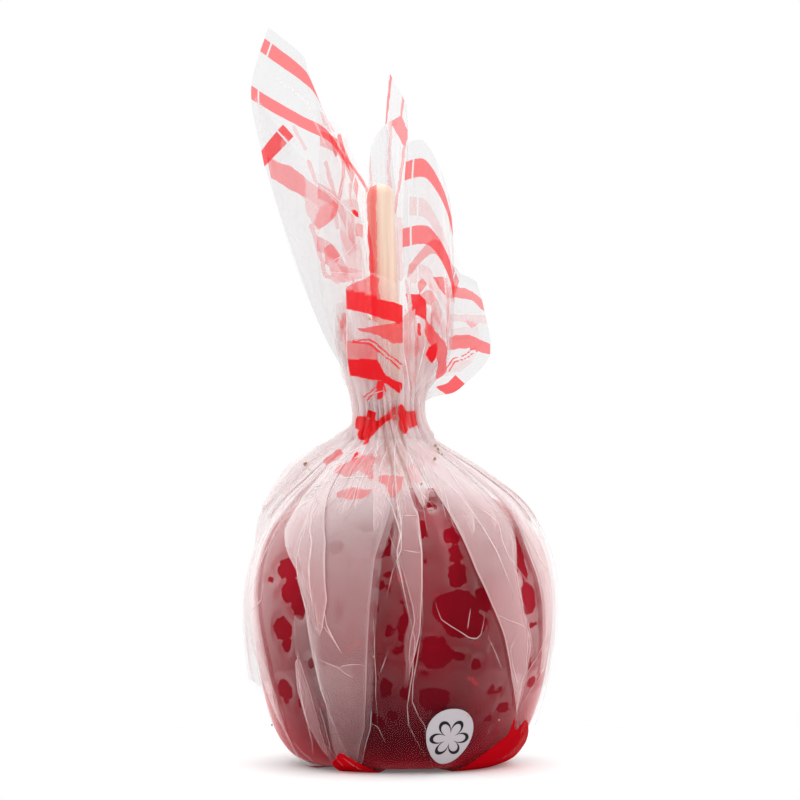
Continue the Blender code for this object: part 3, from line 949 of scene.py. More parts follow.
def crumpled(flat_coords, place, height, layer):
    """How far the film stands off for its crumple: soft on the body, crushed at the neck."""
    beside = ease(55, 80, np.abs(np.abs(place) - 180 * (np.abs(place) > 180)))
    loose = 0.1 + 0.6 * np.clip(layer, 0, 1) + 0.8 * ease(50, 60, height) + 0.03 * beside
    crushed = ease(70, 77, height) * (1 - 0.4 * ease(96, 104, height))
    stands = -NECK_SQUEEZE * ease(68, 77, height) * (1 - ease(87, 96, height))
    for depth, size, seed, flatness in BODY_CRUMPLE:
        stands = stands + depth * facets(flat_coords * (1, 1, flatness), size, seed) * loose
    for depth, size, seed, flatness in NECK_CRUMPLE:
        flats = facets(flat_coords * (1, 1, flatness), size, seed)
        stands = stands + depth * (flats - 0.4) * crushed
    return stands


def film_radius(flat_coords, place, height, layer, radius, clings):
    """The film's radius: its outline with folds, fins and crumple, outside the toffee's."""
    angle = np.radians(place - 90)
    ripple = read_off(RIPPLE_HEIGHTS, height) * np.cos(
        RIPPLES * angle + RIPPLE_DRIFT * grain(flat_coords, 16.0, 3.0) + height * 0.05
    )
    crumple = crumpled(flat_coords, place, height, layer)
    off = layer * LAYER_GAP + crumple * (radius > 10) + ripple * (radius > 4)
    grown = radius - FILM_INSIDE + lobes(angle, height) + side_fins(place, height) + off
    coat = coat_radius(angle, height)
    cling = ease(-1.3, -0.1, clings) * ease(2.0, 8.0, height)
    pressed = np.minimum(grown, coat + FILM_CLEAR + layer * LAYER_GAP)
    grown = grown + (pressed - grown) * cling * CLING_PRESS
    on_side = (height > 1) & (height < 60)
    return np.where(on_side, np.maximum(grown, coat + FILM_NEAREST), grown)


# %% Shape of the bag
RIM_WAVE = 4.5
NECK_SHIFT = -0.6
OFF_PRINT = -9.0  # far outside any print or cling
OFF_PATCH = 30.0


def bag_bend(s, t):
    """Bends the grid along the folds and works out the values that the finish reads."""
    column = np.round(s * bag_columns).astype(int)
    row = np.round(t * BAG_ROWS).astype(int)
    height, radius, run = row_height[row], row_radius[row], row_run[row]
    place, layer = row_place[row, column], row_layer[row, column]
    angle = np.radians(place - 90)
    clings = cling_field(place, height, radius, [*FRONT_CLINGS, *drawn_clings(rng)])
    clings = np.where(layer < 0.06, clings, OFF_PRINT)
    flat_coords = np.stack([30 * np.cos(angle), 30 * np.sin(angle), run * 0.3 + layer * 7], axis=1)
    grown = film_radius(flat_coords, place, height, layer, radius, clings)
    flat = 1 + (CUP_FLATNESS - 1) * ease(82, 96, height)
    reach = grown * flat / np.hypot(flat * np.cos(angle), np.sin(angle))
    wave = 1.6 * (np.abs(np.sin(2.5 * angle + 0.8)) - 0.6) + 0.4 * np.sin(7 * angle)
    level = height + RIM_WAVE * wave * ease(90, 102, height)
    level = level + np.where(radius < 22.5, FOOT_CRUMPLE * facets(flat_coords, 5.0, 8.0), 0.0)
    axis = lean_x(height) * ease(58, 74, height)
    axis = axis + NECK_SHIFT * ease(68, 77, height) * (1 - ease(87, 97, height))
    places = np.stack([axis + reach * np.cos(angle), reach * np.sin(angle), level], axis=1)
    patch_run = np.interp(PATCH_HEIGHT, row_height[FOOT_ROWS:], row_run[FOOT_ROWS:])
    ink, cover = print_field(places[:, 0], height, BAG_PRINT, cover=INK_COVER, bent=0.6)
    front = np.abs(place) < BAND_FROM
    band = (CUP_RIM - height - BAND_START + 4.0 * grain(flat_coords, 8.0, 9.0)) / BAND_PERIOD
    return places, {
        "cling": clings,
        "layer": layer,
        "wet": read_off(WET, height) * read_off(WET_PLACES, place) * (1 - ease(0.0, 0.6, layer)),
        "milk_and_painted_veil": read_off(MILK_AND_PAINTED_VEIL, place),
        "painted_grey": 0.0,
        "ink": np.where(front, ink, OFF_PRINT),
        "crease": row_crease[row, column],
        "wave": np.where(layer < 3, wave_crest(place) - height, OFF_PRINT),
        "patch_x": np.where(layer < 0.5, np.radians(place - PATCH_PLACE) * radius, OFF_PATCH),
        "patch_y": run - patch_run,
        "band": np.where(front, -1.0, band),
        "cover": np.where(front, cover, INK_COVER),
        "last": 2.0,
        "edge": 20.0,
        "height": height,
    }


# %% [markdown]
# ## The film's finish
#
# Thin film has two faces that each mirror a little light, more and more towards grazing angles.
# As a single sheet it is a mix of see-through and mirror. Print is opaque pigment thin enough to
# let some light past, so it is mixed in as a coloured surface that both reflects and passes
# light. Creases and the crushed film at the neck scatter light and look milky; the creases' white
# is also a painted highlight, the folded film's milk also a painted reflection, the milk's red low
# down is painted light bounced from the toffee, some ears are greyed as painted shade, and low on
# the bag the film is dimmed as painted shade.

# %% Film tones
MIRROR = 0.053  # the share mirrored where the film is looked at straight on
EDGE_MIRROR = 0.85  # how much more it mirrors at a grazing angle
CLEAR_TONE = (0.99, 0.985, 0.985, 1)
SHADE_GREY_TONE = (0.86, 0.86, 0.868, 1)  # painted shade: the see-through tint of an ear whose painted grey is 1
# The milky tone of crumpled film by height, 1 is 100 mm; its red low down is painted light bounced from
# the toffee.
MILK_AND_BOUNCE_TONES = (
    (0.0, (1.0, 0.36, 0.38, 1)), (0.4, (1.0, 0.5, 0.52, 1)), (0.6, (0.93, 0.74, 0.75, 1)),
    (0.74, (0.94, 0.83, 0.84, 1)), (0.84, (1.0, 0.91, 0.912, 1)), (1.0, (1.0, 0.97, 0.97, 1)),
)
# The white of sharp folds: their own white and a painted highlight.
CREASE_WHITE_AND_HIGHLIGHT = (0.99, 0.93, 0.93, 1.0)
INK = (0.97, 0.018, 0.028, 1.0)
LOW_SHADED_INK = (0.7, 0.003, 0.012, 1.0)  # painted shade: the print is darker low on the bag, over the dark toffee
BAND_SHARE = 0.28  # how much of a band's pitch is printed
BAND_SOFT = 0.015
BANDS_FROM = 71.5  # no band is printed below this height
WELD_PLACE = 2.0  # a thin bare line runs this far from an ear's side edge
PATCH_SIZE = (5.5, 7.1)  # half the patch's width and height
PATCH_WHITE = (0.42, 0.385, 0.41, 1)
FLOWER_BLACK = (0.012, 0.01, 0.01, 1)


# %% Clings in the finish
def cling_share(g, place, height, lumps, ragged):
    """The clings that the mesh carries, with ragged edges, and small drops where film is single."""
    bent = g.math("MULTIPLY_ADD", g.math("SUBTRACT", lumps, 0.5), 2.4, g.value("cling"))
    frayed = g.math("MULTIPLY_ADD", g.math("SUBTRACT", ragged, 0.5), 1.5, bent)
    drops = g.add("TexVoronoi", {"Vector": place, "Scale": 170.0}, output="Distance")
    single = g.math("LESS_THAN", g.value("layer"), 0.05)
    low_down = g.step(height, 58.0, 50.0)
    drop = g.math("MULTIPLY", g.math("MULTIPLY", g.step(drops, 0.1, 0.08), single), low_down)
    return g.math("MAXIMUM", g.step(frayed, -0.05, 0.05), drop)


# %% Clear and milky film
def clear_film_layer(g, height, touching, painted_light_level):
    """See-through film with a mirror that grows at grazing angles and is duller in the cup."""
    facing = g.add("LayerWeight", {"Blend": 0.5}, output="Facing")
    mirror = g.math("MULTIPLY_ADD", g.math("POWER", facing, 1.9), EDGE_MIRROR, MIRROR)
    mirror = g.math("MULTIPLY", mirror, g.math("SUBTRACT", 1.0, touching))
    # Painted shade: the mirror is dimmed low on the bag.
    mirror = g.math("MULTIPLY", mirror, painted_light_level)
    cup = g.math("MULTIPLY", g.step(height, 80.0, 86.0), g.step(height, 112.0, 100.0))
    mirror = g.math("MULTIPLY", mirror, g.math("MULTIPLY_ADD", cup, -0.45, 1.0))
    # Painted shade: some ears are greyed through their see-through tint.
    clear = g.add("BsdfTransparent", {"Color": g.tone(g.value("painted_grey"), CLEAR_TONE, SHADE_GREY_TONE)})
    shine = g.add("BsdfGlossy", {"Color": (1, 1, 1, 1), "Roughness": 0.08})
    return g.blend(mirror, clear, shine)


def milk_and_veil_share(g, height, touching, painted_light_level):
    """How milky the film is: from the shoulder up, in the crushed neck and where it is folded, where the
    milk is also a painted reflection.
    """
    shoulder = g.math("MULTIPLY", g.step(height, 52.0, 65.0), 0.1)
    crushed = g.math("MULTIPLY", g.step(height, 70.0, 77.0), g.step(height, 93.0, 82.0))
    neck = g.math("MULTIPLY_ADD", crushed, 0.12, shoulder)
    # Folded film: its milk is real haze and, stronger on the right, a painted reflection of the light.
    folded = g.math("MULTIPLY", g.math("MINIMUM", g.value("layer"), 1.0), g.value("milk_and_painted_veil"))
    haze = g.math("ADD", neck, g.math("ADD", folded, 0.014))
    return g.math("MULTIPLY", haze, g.math("MULTIPLY", g.math("SUBTRACT", 1.0, touching), painted_light_level))


def crease_white_and_highlight(g, height, painted_light_level):
    """How white the sharp folds are, their own white and a painted highlight; less so from the shoulder
    up.
    """
    sharp = g.math("MULTIPLY_ADD", g.step(height, 54.0, 66.0), -0.3, 0.48)
    return g.math("MULTIPLY", g.math("MULTIPLY", g.value("crease"), sharp), painted_light_level)


# %% Ink
def band_share(g, height, lumps, ragged):
    """The bands near the mouth, and the drawn shapes with slightly ragged edges."""
    phase = g.math("FRACT", g.value("band"))
    wobble = g.math("MULTIPLY_ADD", g.math("SUBTRACT", lumps, 0.5), 0.02, phase)
    band = g.math("MULTIPLY", g.step(wobble, 0.0, BAND_SOFT),
                  g.step(wobble, BAND_SHARE + BAND_SOFT, BAND_SHARE))
    from_rim = g.math("GREATER_THAN", g.value("band"), 0.0)
    to_neck = g.math("LESS_THAN", g.value("band"), g.value("last"))
    above = g.math("GREATER_THAN", height, BANDS_FROM)
    weld_gap = g.math("ABSOLUTE", g.math("SUBTRACT", g.value("edge"), WELD_PLACE))
    band = g.math("MULTIPLY", g.math("MULTIPLY", band, from_rim), g.math("MULTIPLY", to_neck, above))
    band = g.math("MULTIPLY", band, g.step(weld_gap, 0.16, 0.28))
    drawn = g.math("MULTIPLY_ADD", g.math("SUBTRACT", ragged, 0.5), 0.25, g.value("ink"))
    return g.math("MAXIMUM", band, g.step(drawn, -0.05, 0.05))


def with_ink(g, film, height, lumps, ragged):
    """Lays the red print over the film: bands, drawn shapes and the wave round the base."""
    wave = g.math("MULTIPLY", g.step(g.value("wave"), -0.1, 0.1), 0.97)
    bands = g.math("MULTIPLY", band_share(g, height, lumps, ragged), g.value("cover"))
    # Painted shade: the ink darkens low on the bag.
    red = g.tone(g.step(height, 20.0, 60.0), LOW_SHADED_INK, INK)
    return g.blend(g.math("MAXIMUM", bands, wave), film, g.thin(red))


# %% The patch with its flower
def length_of(g, x, y):
    return g.math("SQRT", g.math("ADD", g.math("MULTIPLY", x, x), g.math("MULTIPLY", y, y)))


def with_patch(g, film):
    """Lays the white egg-shaped patch over the film, with a six-petal flower drawn on it."""
    x, y = g.value("patch_x"), g.value("patch_y")
    stretch = g.math("MULTIPLY_ADD", y, 0.035, 1.0)
    wide = g.math("DIVIDE", x, g.math("MULTIPLY", stretch, PATCH_SIZE[0]))
    tall = g.math("DIVIDE", y, PATCH_SIZE[1])
    inside = g.step(length_of(g, wide, tall), 1.01, 0.99)
    petal = g.math("ABSOLUTE", g.math("COSINE", g.math("MULTIPLY", g.math("ARCTAN2", y, x), 3.0)))
    outline = g.math("MULTIPLY_ADD", g.math("POWER", petal, 0.6), 3.0, 1.3)
    off_line = g.math("ABSOLUTE", g.math("SUBTRACT", length_of(g, x, y), outline))
    white = g.add("BsdfPrincipled", {"Base Color": PATCH_WHITE, "Roughness": 0.35})
    black = g.add("BsdfPrincipled", {"Base Color": FLOWER_BLACK, "Roughness": 0.5,
                                      "Specular IOR Level": 0.1})
    return g.blend(inside, film, g.blend(g.step(off_line, 0.5, 0.38), white, black))


# %% Film finish
def film_finish():
    """Clear film, then milk, creases, ink and the patch, each laid over the last."""
    g = Graph("clear_film")
    place = g.add("TexCoord", output="Object")
    height = g.value("height")
    ragged = g.add("TexNoise", {"Vector": place, "Scale": 700.0, "Detail": 3.0, "Roughness": 0.6})
    lumps = g.add("TexNoise", {"Vector": place, "Scale": 330.0, "Detail": 2.0})
    cling = cling_share(g, place, height, lumps, ragged)
    touching = g.math("MAXIMUM", g.math("MULTIPLY", cling, 0.99), g.value("wet"))
    # Set for the look, as painted shade: low on the bag the film's mirror, milk and white creases are
    # dimmed by height.
    painted_light_level = g.math("MULTIPLY_ADD", g.step(height, 0.0, 36.0), 0.8, 0.2)
    # The milk's red is painted light bounced from the toffee.
    milk = g.thin(g.ramp(g.math("DIVIDE", height, 100.0), MILK_AND_BOUNCE_TONES))
    film = g.blend(milk_and_veil_share(g, height, touching, painted_light_level), clear_film_layer(g, height, touching, painted_light_level), milk)
    film = g.blend(crease_white_and_highlight(g, height, painted_light_level), film, g.thin(CREASE_WHITE_AND_HIGHLIGHT))
    film = with_ink(g, film, height, lumps, ragged)
    return g.finish(with_patch(g, film))


clear_film = film_finish()
bag = show("film_bag", bent_grid("film_bag", bag_columns, BAG_ROWS, bag_bend), clear_film,
           sharp=55)
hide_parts("film_wrap")

# %% [markdown]
# ## The ears above the gathers
#
# Above the stick's neck the bag's mouth is free and stands up in ears, each a piece of the same
# flat film that fans out from the gathers. An ear is a net of points: a row at its root in the
# neck, rows higher up and a last row along the mouth. The printed bands run along those rows.

# %% Ears
EAR_ROOT_RADIUS = 5.6
NECK_HEIGHT = 82.5
EARS = {
    "tall_ear": {
        "roots": (165.0, 230.0),
        "rows": (
            ((-17.6, 0.5, 98.4), (-12.8, -3.4, 99.0), (-9.0, -5.0, 100.0), (-7.4, -4.4, 98.0)),
            ((-26.9, 0.2, 123.5), (-18.5, -2.6, 121.5), (-9.9, -2.2, 117.0), (-7.4, 0.6, 111.0)),
            ((-32.4, 0.0, 142.0), (-23.4, -1.8, 137.6), (-13.6, -0.4, 130.6), (-8.8, 2.0, 123.5)),
            ((-34.6, 0.0, 156.2), (-27.0, -1.0, 151.6), (-18.2, 0.4, 146.0), (-12.4, 2.2, 139.0)),
            ((-30.6, 0.0, 170.0), (-26.6, -0.4, 166.8), (-22.7, 0.2, 163.4), (-21.3, 0.9, 159.6),
             (-18.9, 1.9, 152.2)),
        ),
        "bands": (2.6, 11.4, 2.0),
        "painted_grey": 1.0,
        "lines": (
            (0.22, 0.4, ((-24.8, 146.9), (-22.0, 141.7))),
            (0.3, 0.45, ((-21.4, 138.9), (-19.3, 133.8))),
        ),
    },
    "ear_flap": {
        "roots": (215.0, 262.0),
        "rows": (
            ((-17.5, -0.8, 98.5), (-12.5, -5.0, 98.0), (-7.5, -6.5, 97.0)),
            ((-27.3, -0.8, 124.0), (-18.5, -4.0, 119.0), (-9.0, -5.0, 113.0)),
            ((-33.8, -0.5, 154.3), (-22.0, -3.0, 139.0), (-8.5, -4.5, 125.6)),
        ),
        "painted_grey": 0.3,
        "print": (
            (0.34, ((-22.6, 135.4), (-15.7, 130.0), (-14.5, 127.0), (-17.5, 127.4), (-22.6, 130.6))),
            (0.56, ((-32.4, 136.6), (-31.2, 140.2), (-28.8, 138.9), (-25.2, 137.4), (-22.2, 135.3),
                    (-22.2, 130.4), (-28.0, 133.8))),
            (0.24, ((-22.4, 130.8), (-18.5, 127.8), (-20.1, 124.6), (-18.2, 120.6), (-21.6, 126.6))),
            (0.52, ((-18.5, 127.8), (-15.7, 129.8), (-14.1, 128.6), (-14.9, 126.2), (-16.9, 124.2),
                    (-18.9, 123.0), (-20.1, 124.6))),
            (0.2, ((-14.1, 123.4), (-8.6, 118.0), (-8.2, 113.2), (-12.4, 114.4), (-13.6, 118.4))),
            (0.5, ((-17.7, 118.6), (-16.1, 119.8), (-14.1, 117.1), (-14.9, 114.3), (-17.3, 115.1))),
            (0.36, ((-16.9, 115.9), (-12.1, 114.3), (-7.3, 113.1), (-7.7, 112.0), (-12.9, 110.7),
                    (-15.3, 110.7))),
            (0.95, ((-11.3, 127.4), (-9.9, 127.4), (-9.7, 125.8), (-10.9, 126.2))),
            (0.4, ((-10.5, 124.6), (-8.1, 123.8), (-8.5, 121.0), (-10.3, 121.4))),
            (0.3, ((-14.8, 103.6), (-13.3, 102.0), (-12.0, 96.0), (-12.3, 92.4), (-13.4, 98.0))),
        ),
        "lines": (
            (0.9, 0.26, ((-7.9, 124.2), (-7.5, 119.8), (-7.3, 112.7))),
            (0.3, 0.5, ((-20.6, 124.0), (-18.8, 118.0), (-17.2, 112.4), (-14.4, 110.8))),
        ),
    },
    "ear_turnback": {
        "roots": None,
        "rows": (
            ((-31.0, -1.3, 135.6), (-27.2, -1.7, 139.2), (-23.4, -2.0, 142.9)),
            ((-31.8, -1.3, 139.2), (-29.0, -1.7, 142.9), (-26.3, -2.0, 146.4)),
            ((-33.2, -1.2, 146.5), (-32.0, -1.5, 148.6), (-30.6, -1.7, 150.6)),
            ((-34.1, -1.1, 152.6), (-33.9, -1.3, 153.0), (-33.7, -1.4, 153.5)),
        ),
        "bands": (2.0, 13.4, 1.0),
        "from_low": True,
        "weld_right": True,
        "cover": 0.85,
    },
    "left_back_layer": {
        "roots": (120.0, 165.0),
        "rows": (
            ((-14.0, 5.0, 98.0), (-10.0, 5.5, 98.5), (-7.0, 6.0, 99.0)),
            ((-18.0, 4.5, 122.0), (-13.0, 4.0, 121.0), (-8.5, 5.0, 118.0)),
            ((-19.5, 3.0, 151.5), (-14.5, 3.5, 147.5), (-11.3, 4.0, 141.0), (-7.3, 5.0, 133.2)),
        ),
        "print": (
            (0.3, ((-19.0, 150.8), (-17.4, 149.6), (-15.2, 146.2), (-16.6, 146.2), (-18.4, 148.4))),
            (0.92, ((-16.8, 145.7), (-14.7, 144.3), (-14.9, 139.9), (-15.7, 141.3))),
            (0.25, ((-14.0, 130.0), (-10.2, 130.6), (-9.0, 120.0), (-12.0, 117.0), (-14.2, 122.0))),
        ),
        "lines": (
            (0.62, 0.42, ((-14.2, 145.3), (-13.2, 139.7), (-13.4, 135.0), (-14.6, 130.2), (-16.2, 126.0))),
            (0.65, 0.3, ((-12.8, 140.6), (-7.4, 131.9))),
            (0.4, 0.45, ((-17.4, 139.0), (-15.4, 131.0), (-14.8, 124.0))),
            (0.5, 0.3, ((-11.8, 134.0), (-11.2, 128.0), (-11.4, 121.0))),
        ),
    },
    "middle_lobe": {
        "roots": (95.0, 130.0),
        "rows": (
            ((-8.0, 7.4, 101.0), (-4.5, 8.4, 101.0), (-0.5, 8.0, 101.0)),
            ((-7.7, 7.0, 126.0), (-4.5, 7.8, 127.0), (-0.8, 7.4, 126.0)),
            ((-7.4, 6.6, 137.5), (-5.4, 6.8, 141.0), (-2.4, 6.4, 143.5)),
            ((-7.0, 6.4, 142.6), (-5.8, 6.6, 145.4), (-3.6, 6.2, 148.0)),
        ),
        "painted_grey": 0.8,
        "lines": ((0.3, 0.25, ((-7.4, 143.0), (-7.2, 138.0), (-6.6, 131.0))),),
    },
    "spike": {
        "roots": (70.0, 125.0),
        "rows": (
            ((-4.6, 6.4, 101.0), (-1.4, 7.2, 101.0), (2.0, 6.6, 101.0)),
            ((-3.9, 6.4, 126.0), (-1.4, 7.0, 126.0), (1.7, 6.2, 126.0)),
            ((-3.7, 6.2, 146.0), (-1.6, 6.6, 146.5), (1.6, 5.6, 143.0)),
            ((-2.7, 6.0, 160.2), (-1.2, 6.1, 157.4), (1.5, 5.4, 152.4)),
        ),
        "painted_grey": 0.5,
        "print": ((0.6, ((-2.4, 148.6), (0.1, 150.4), (1.5, 146.7), (1.1, 142.1))),),
        "lines": (
            (0.62, 0.3, ((-2.3, 159.8), (-3.5, 148.2))),
            (0.5, 0.26, ((0.5, 154.5), (0.1, 150.3))),
            (0.42, 0.32, ((0.9, 142.6), (-1.5, 127.4))),
            (0.26, 0.4, ((-2.4, 148.3), (-2.8, 138.0), (-2.2, 126.0), (-1.4, 114.0))),
            (0.2, 0.6, ((-0.4, 126.0), (0.0, 112.0))),
        ),
    },
    "right_ear": {
        "roots": (285.0, 355.0),
        "rows": (
            ((1.6, -5.0, 99.0), (6.0, -5.2, 100.0), (9.8, -2.6, 96.0), (11.0, 0.0, 93.0)),
            ((0.4, -2.8, 119.0), (6.4, -3.6, 119.4), (10.8, -1.4, 112.5), (12.3, 1.0, 105.0)),
            ((0.8, -1.2, 133.6), (5.8, -2.4, 134.2), (10.3, -0.4, 126.6), (12.2, 1.4, 119.5)),
            ((1.5, -0.6, 143.2), (5.3, -1.0, 143.6), (9.2, 0.4, 137.2), (11.4, 1.6, 130.4)),
        ),
        "bands": (4.3, 15.6, 2.0),
        "painted_grey": 1.0,
    },
    "right_behind": {
        "roots": (350.0, 395.0),
        "rows": (
            ((2.6, 2.0, 99.0), (6.5, 3.6, 100.0), (10.0, 3.6, 98.0), (11.0, 3.0, 95.0)),
            ((2.0, 2.2, 121.0), (6.0, 3.4, 121.0), (9.6, 2.8, 114.0), (11.8, 2.2, 107.0)),
            ((2.2, 2.0, 140.6), (5.4, 2.4, 139.8), (8.8, 2.0, 134.0), (11.2, 1.8, 127.2)),
        ),
        "bands": (9.5, 15.6, 3.0),
        "cover": 0.24,
    },
    "right_lobe": {
        "roots": (-8.0, 40.0),
        "rows": (
            ((8.0, 2.0, 84.6), (11.0, 2.6, 91.5), (11.0, 3.4, 100.0), (10.4, 3.8, 112.6)),
            ((11.8, 2.2, 85.4), (16.2, 2.8, 91.8), (15.8, 3.6, 103.0), (14.2, 4.0, 113.0)),
            ((13.6, 2.6, 86.4), (20.6, 3.0, 94.2), (19.4, 3.8, 104.5), (17.6, 4.2, 111.4)),
        ),
        "painted_grey": 1.0,
        "print": (
            (0.62, ((10.6, 110.0), (12.7, 110.4), (16.6, 109.2), (20.0, 106.0), (20.0, 103.8),
                    (16.6, 107.0), (12.7, 107.6), (10.6, 107.4))),
            (0.16, ((10.6, 103.9), (20.0, 103.4), (20.0, 101.6), (10.6, 102.4))),
            (0.4, ((14.9, 101.9), (16.4, 102.2), (18.0, 101.3), (16.4, 100.5))),
            (0.7, ((10.6, 97.7), (12.7, 98.9), (15.8, 98.9), (20.8, 96.8), (20.8, 94.2), (15.8, 96.0),
                   (10.6, 95.2))),
            (0.85, ((8.0, 86.7), (10.9, 87.8), (12.7, 89.7), (15.2, 87.4), (11.2, 84.6))),
        ),
        "lines": (
            (0.8, 0.17, ((10.6, 91.2), (12.4, 93.4), (14.3, 94.0), (17.1, 96.0))),
            (0.8, 0.17, ((11.2, 90.6), (12.9, 92.6), (14.7, 93.2), (17.6, 95.2))),
        ),
    },
    "lobe_layer": {
        "roots": (-2.0, 45.0),
        "rows": (
            ((8.0, 3.6, 88.8), (10.4, 4.0, 92.5), (10.4, 4.6, 96.6), (8.6, 4.8, 101.0)),
            ((12.4, 3.8, 89.6), (15.4, 4.2, 95.2), (15.0, 4.8, 102.6), (10.4, 5.0, 108.0)),
            ((16.6, 4.0, 92.6), (19.2, 4.4, 98.6), (17.8, 5.0, 106.0), (11.8, 5.2, 110.8)),
        ),
        "print": (
            (0.12, ((8.0, 100.0), (18.0, 101.0), (18.0, 98.0), (8.0, 97.6))),
            (0.14, ((8.0, 92.4), (18.0, 93.4), (17.0, 90.6), (8.0, 90.0))),
        ),
    },
    "back_ear": {
        "roots": (125.0, 172.0),
        "rows": (
            ((-8.4, 8.2, 99.0), (-12.4, 7.2, 98.0), (-15.0, 4.6, 96.0)),
            ((-10.6, 7.0, 121.0), (-15.0, 6.4, 119.0), (-19.4, 5.2, 115.0)),
            ((-9.6, 5.6, 137.0), (-13.4, 5.2, 146.4), (-18.6, 4.4, 149.6)),
        ),
        "bands": (3.0, 12.2, 3.0),
        "cover": 0.6,
    },
    "back_lobe": {
        "roots": (30.0, 80.0),
        "rows": (
            ((9.4, 6.8, 96.0), (5.4, 9.8, 97.0), (1.0, 10.8, 98.0)),
            ((12.6, 9.6, 108.0), (7.0, 12.4, 112.0), (1.2, 12.6, 110.0)),
            ((14.6, 11.4, 115.0), (9.0, 14.2, 125.0), (2.4, 14.0, 119.0)),
        ),
        "bands": (3.4, 12.2, 3.0),
    },
    "front_panel": {
        "roots": (255.0, 290.0),
        "rows": (
            ((-10.2, -6.4, 86.0), (-5.4, -8.4, 82.6), (0.2, -7.2, 84.6)),
            ((-12.2, -7.2, 93.0), (-6.0, -9.8, 92.5), (0.4, -9.0, 91.5)),
            ((-12.5, -7.6, 101.0), (-6.0, -10.2, 100.0), (0.4, -9.2, 99.0)),
            ((-12.6, -7.0, 112.8), (-6.0, -9.4, 112.8), (0.4, -7.8, 109.6)),
        ),
        "print": (
            (0.62, ((-12.9, 109.3), (-6.8, 112.3), (-5.0, 111.5), (-5.0, 107.0))),
            (0.95, ((-12.9, 109.2), (-6.5, 107.5), (0.8, 105.3), (0.8, 100.7), (-12.9, 104.9))),
            (0.72, ((-10.5, 99.9), (-4.0, 101.0), (0.8, 101.1), (0.8, 96.9), (-1.7, 96.6), (-5.4, 98.6))),
            (0.45, ((-12.9, 97.4), (-7.4, 96.9), (-5.5, 95.2), (-5.1, 92.4), (-12.9, 92.8))),
            (0.98, ((-12.9, 93.1), (-5.2, 92.8), (-3.4, 89.4), (0.6, 87.5), (-0.3, 85.2), (-4.0, 88.1),
                    (-7.1, 88.4), (-11.6, 89.3))),
            (0.95, ((-5.5, 88.0), (-4.0, 88.0), (-3.4, 85.9), (-4.6, 83.8), (-5.5, 83.8))),
        ),
        "lines": (
            (0.9, 0.17, ((-10.8, 96.9), (-7.4, 96.9), (-5.8, 95.5), (-0.3, 90.9))),
            (0.9, 0.17, ((-10.8, 97.6), (-7.2, 97.6), (-5.4, 96.3), (0.2, 91.6))),
            (0.85, 0.17, ((-5.8, 86.6), (-9.6, 83.5), (-9.6, 82.2))),
            (0.85, 0.17, ((-5.2, 86.0), (-8.8, 83.1), (-8.8, 82.0))),
        ),
    },
    "front_right_fold": {
        "roots": (290.0, 320.0),
        "rows": (
            ((0.2, -6.8, 86.0), (3.4, -6.8, 86.8), (6.4, -4.6, 87.4)),
            ((0.4, -8.4, 94.0), (5.4, -8.6, 92.6), (10.6, -5.0, 90.6)),
            ((0.6, -8.8, 103.0), (6.0, -8.8, 101.0), (11.4, -4.8, 99.0)),
            ((1.0, -7.6, 112.6), (6.0, -7.8, 113.0), (10.8, -4.2, 111.6)),
        ),
        "print": (
            (0.2, ((0.8, 105.0), (1.8, 104.0), (1.9, 92.0), (0.7, 88.0))),
            (0.6, ((9.9, 89.0), (8.2, 88.8), (6.5, 86.6), (7.8, 86.0))),
            (0.74, ((5.6, 102.2), (8.1, 99.3), (9.9, 97.1), (10.6, 95.2), (10.4, 89.4), (9.3, 88.1),
                    (8.2, 89.0), (8.4, 92.1), (8.1, 94.9), (6.2, 96.8), (5.6, 98.9))),
            (0.92, ((1.0, 107.9), (4.1, 107.9), (5.6, 106.4), (5.9, 102.0), (3.4, 103.1), (2.2, 103.9))),
            (0.98, ((6.2, 95.9), (7.8, 96.5), (8.1, 95.2), (8.2, 94.0), (7.2, 92.1), (5.6, 94.0))),
            (0.9, ((3.7, 101.3), (4.5, 101.4), (4.6, 98.6), (3.8, 98.6))),
            (0.55, ((3.9, 110.7), (4.8, 111.6), (5.9, 110.5), (5.3, 109.2), (4.1, 107.9))),
            (0.68, ((7.2, 111.9), (9.8, 112.3), (10.3, 107.6), (8.7, 109.5))),
        ),
        "lines": (
            (0.22, 0.35, ((1.4, 111.0), (2.4, 103.0), (1.6, 92.0), (2.2, 85.0))),
            (0.25, 0.3, ((3.0, 104.0), (3.8, 97.0), (3.0, 87.0))),
            (0.2, 0.5, ((6.8, 110.0), (7.6, 104.0), (9.0, 100.5))),
            (0.3, 0.4, ((10.4, 112.0), (11.0, 106.0), (10.9, 98.0))),
        ),
    },
    "stick_sleeve": {
        "roots": (240.0, 275.0),
        "rows": (
            ((-8.6, -3.6, 98.0), (-6.6, -4.4, 98.0), (-4.4, -4.2, 98.0)),
            ((-9.0, -3.2, 118.0), (-7.0, -4.1, 118.0), (-5.4, -3.9, 118.0)),
            ((-8.9, -3.0, 131.5), (-7.4, -3.8, 134.0), (-5.6, -3.7, 134.4)),
        ),
        "print": (
            (0.56, ((-6.4, 97.0), (-8.0, 131.0), (-7.1, 132.8), (-5.5, 133.4), (-5.5, 97.0))),
            (0.85, ((-6.4, 97.0), (-7.7, 124.0), (-6.9, 121.0), (-6.4, 114.0), (-5.8, 97.0))),
        ),
    },
}

# %% Ear shapes
EAR_CREASES = 0.5
EAR_COLUMNS = 64
EAR_ROWS = 110
GATHER_DEPTH = 0.55  # the small pleats at an ear's root
FOLD_DEPTH = 0.5  # two soft folds across an ear
CRUMPLE_DEPTH = 0.9
FINE_DEPTH = 0.22
COARSE_FLATS = 13.0
FINE_FLATS = 5.0
TURNBACK_LIVELY = 0.15  # the turned-back corner lies nearly flat


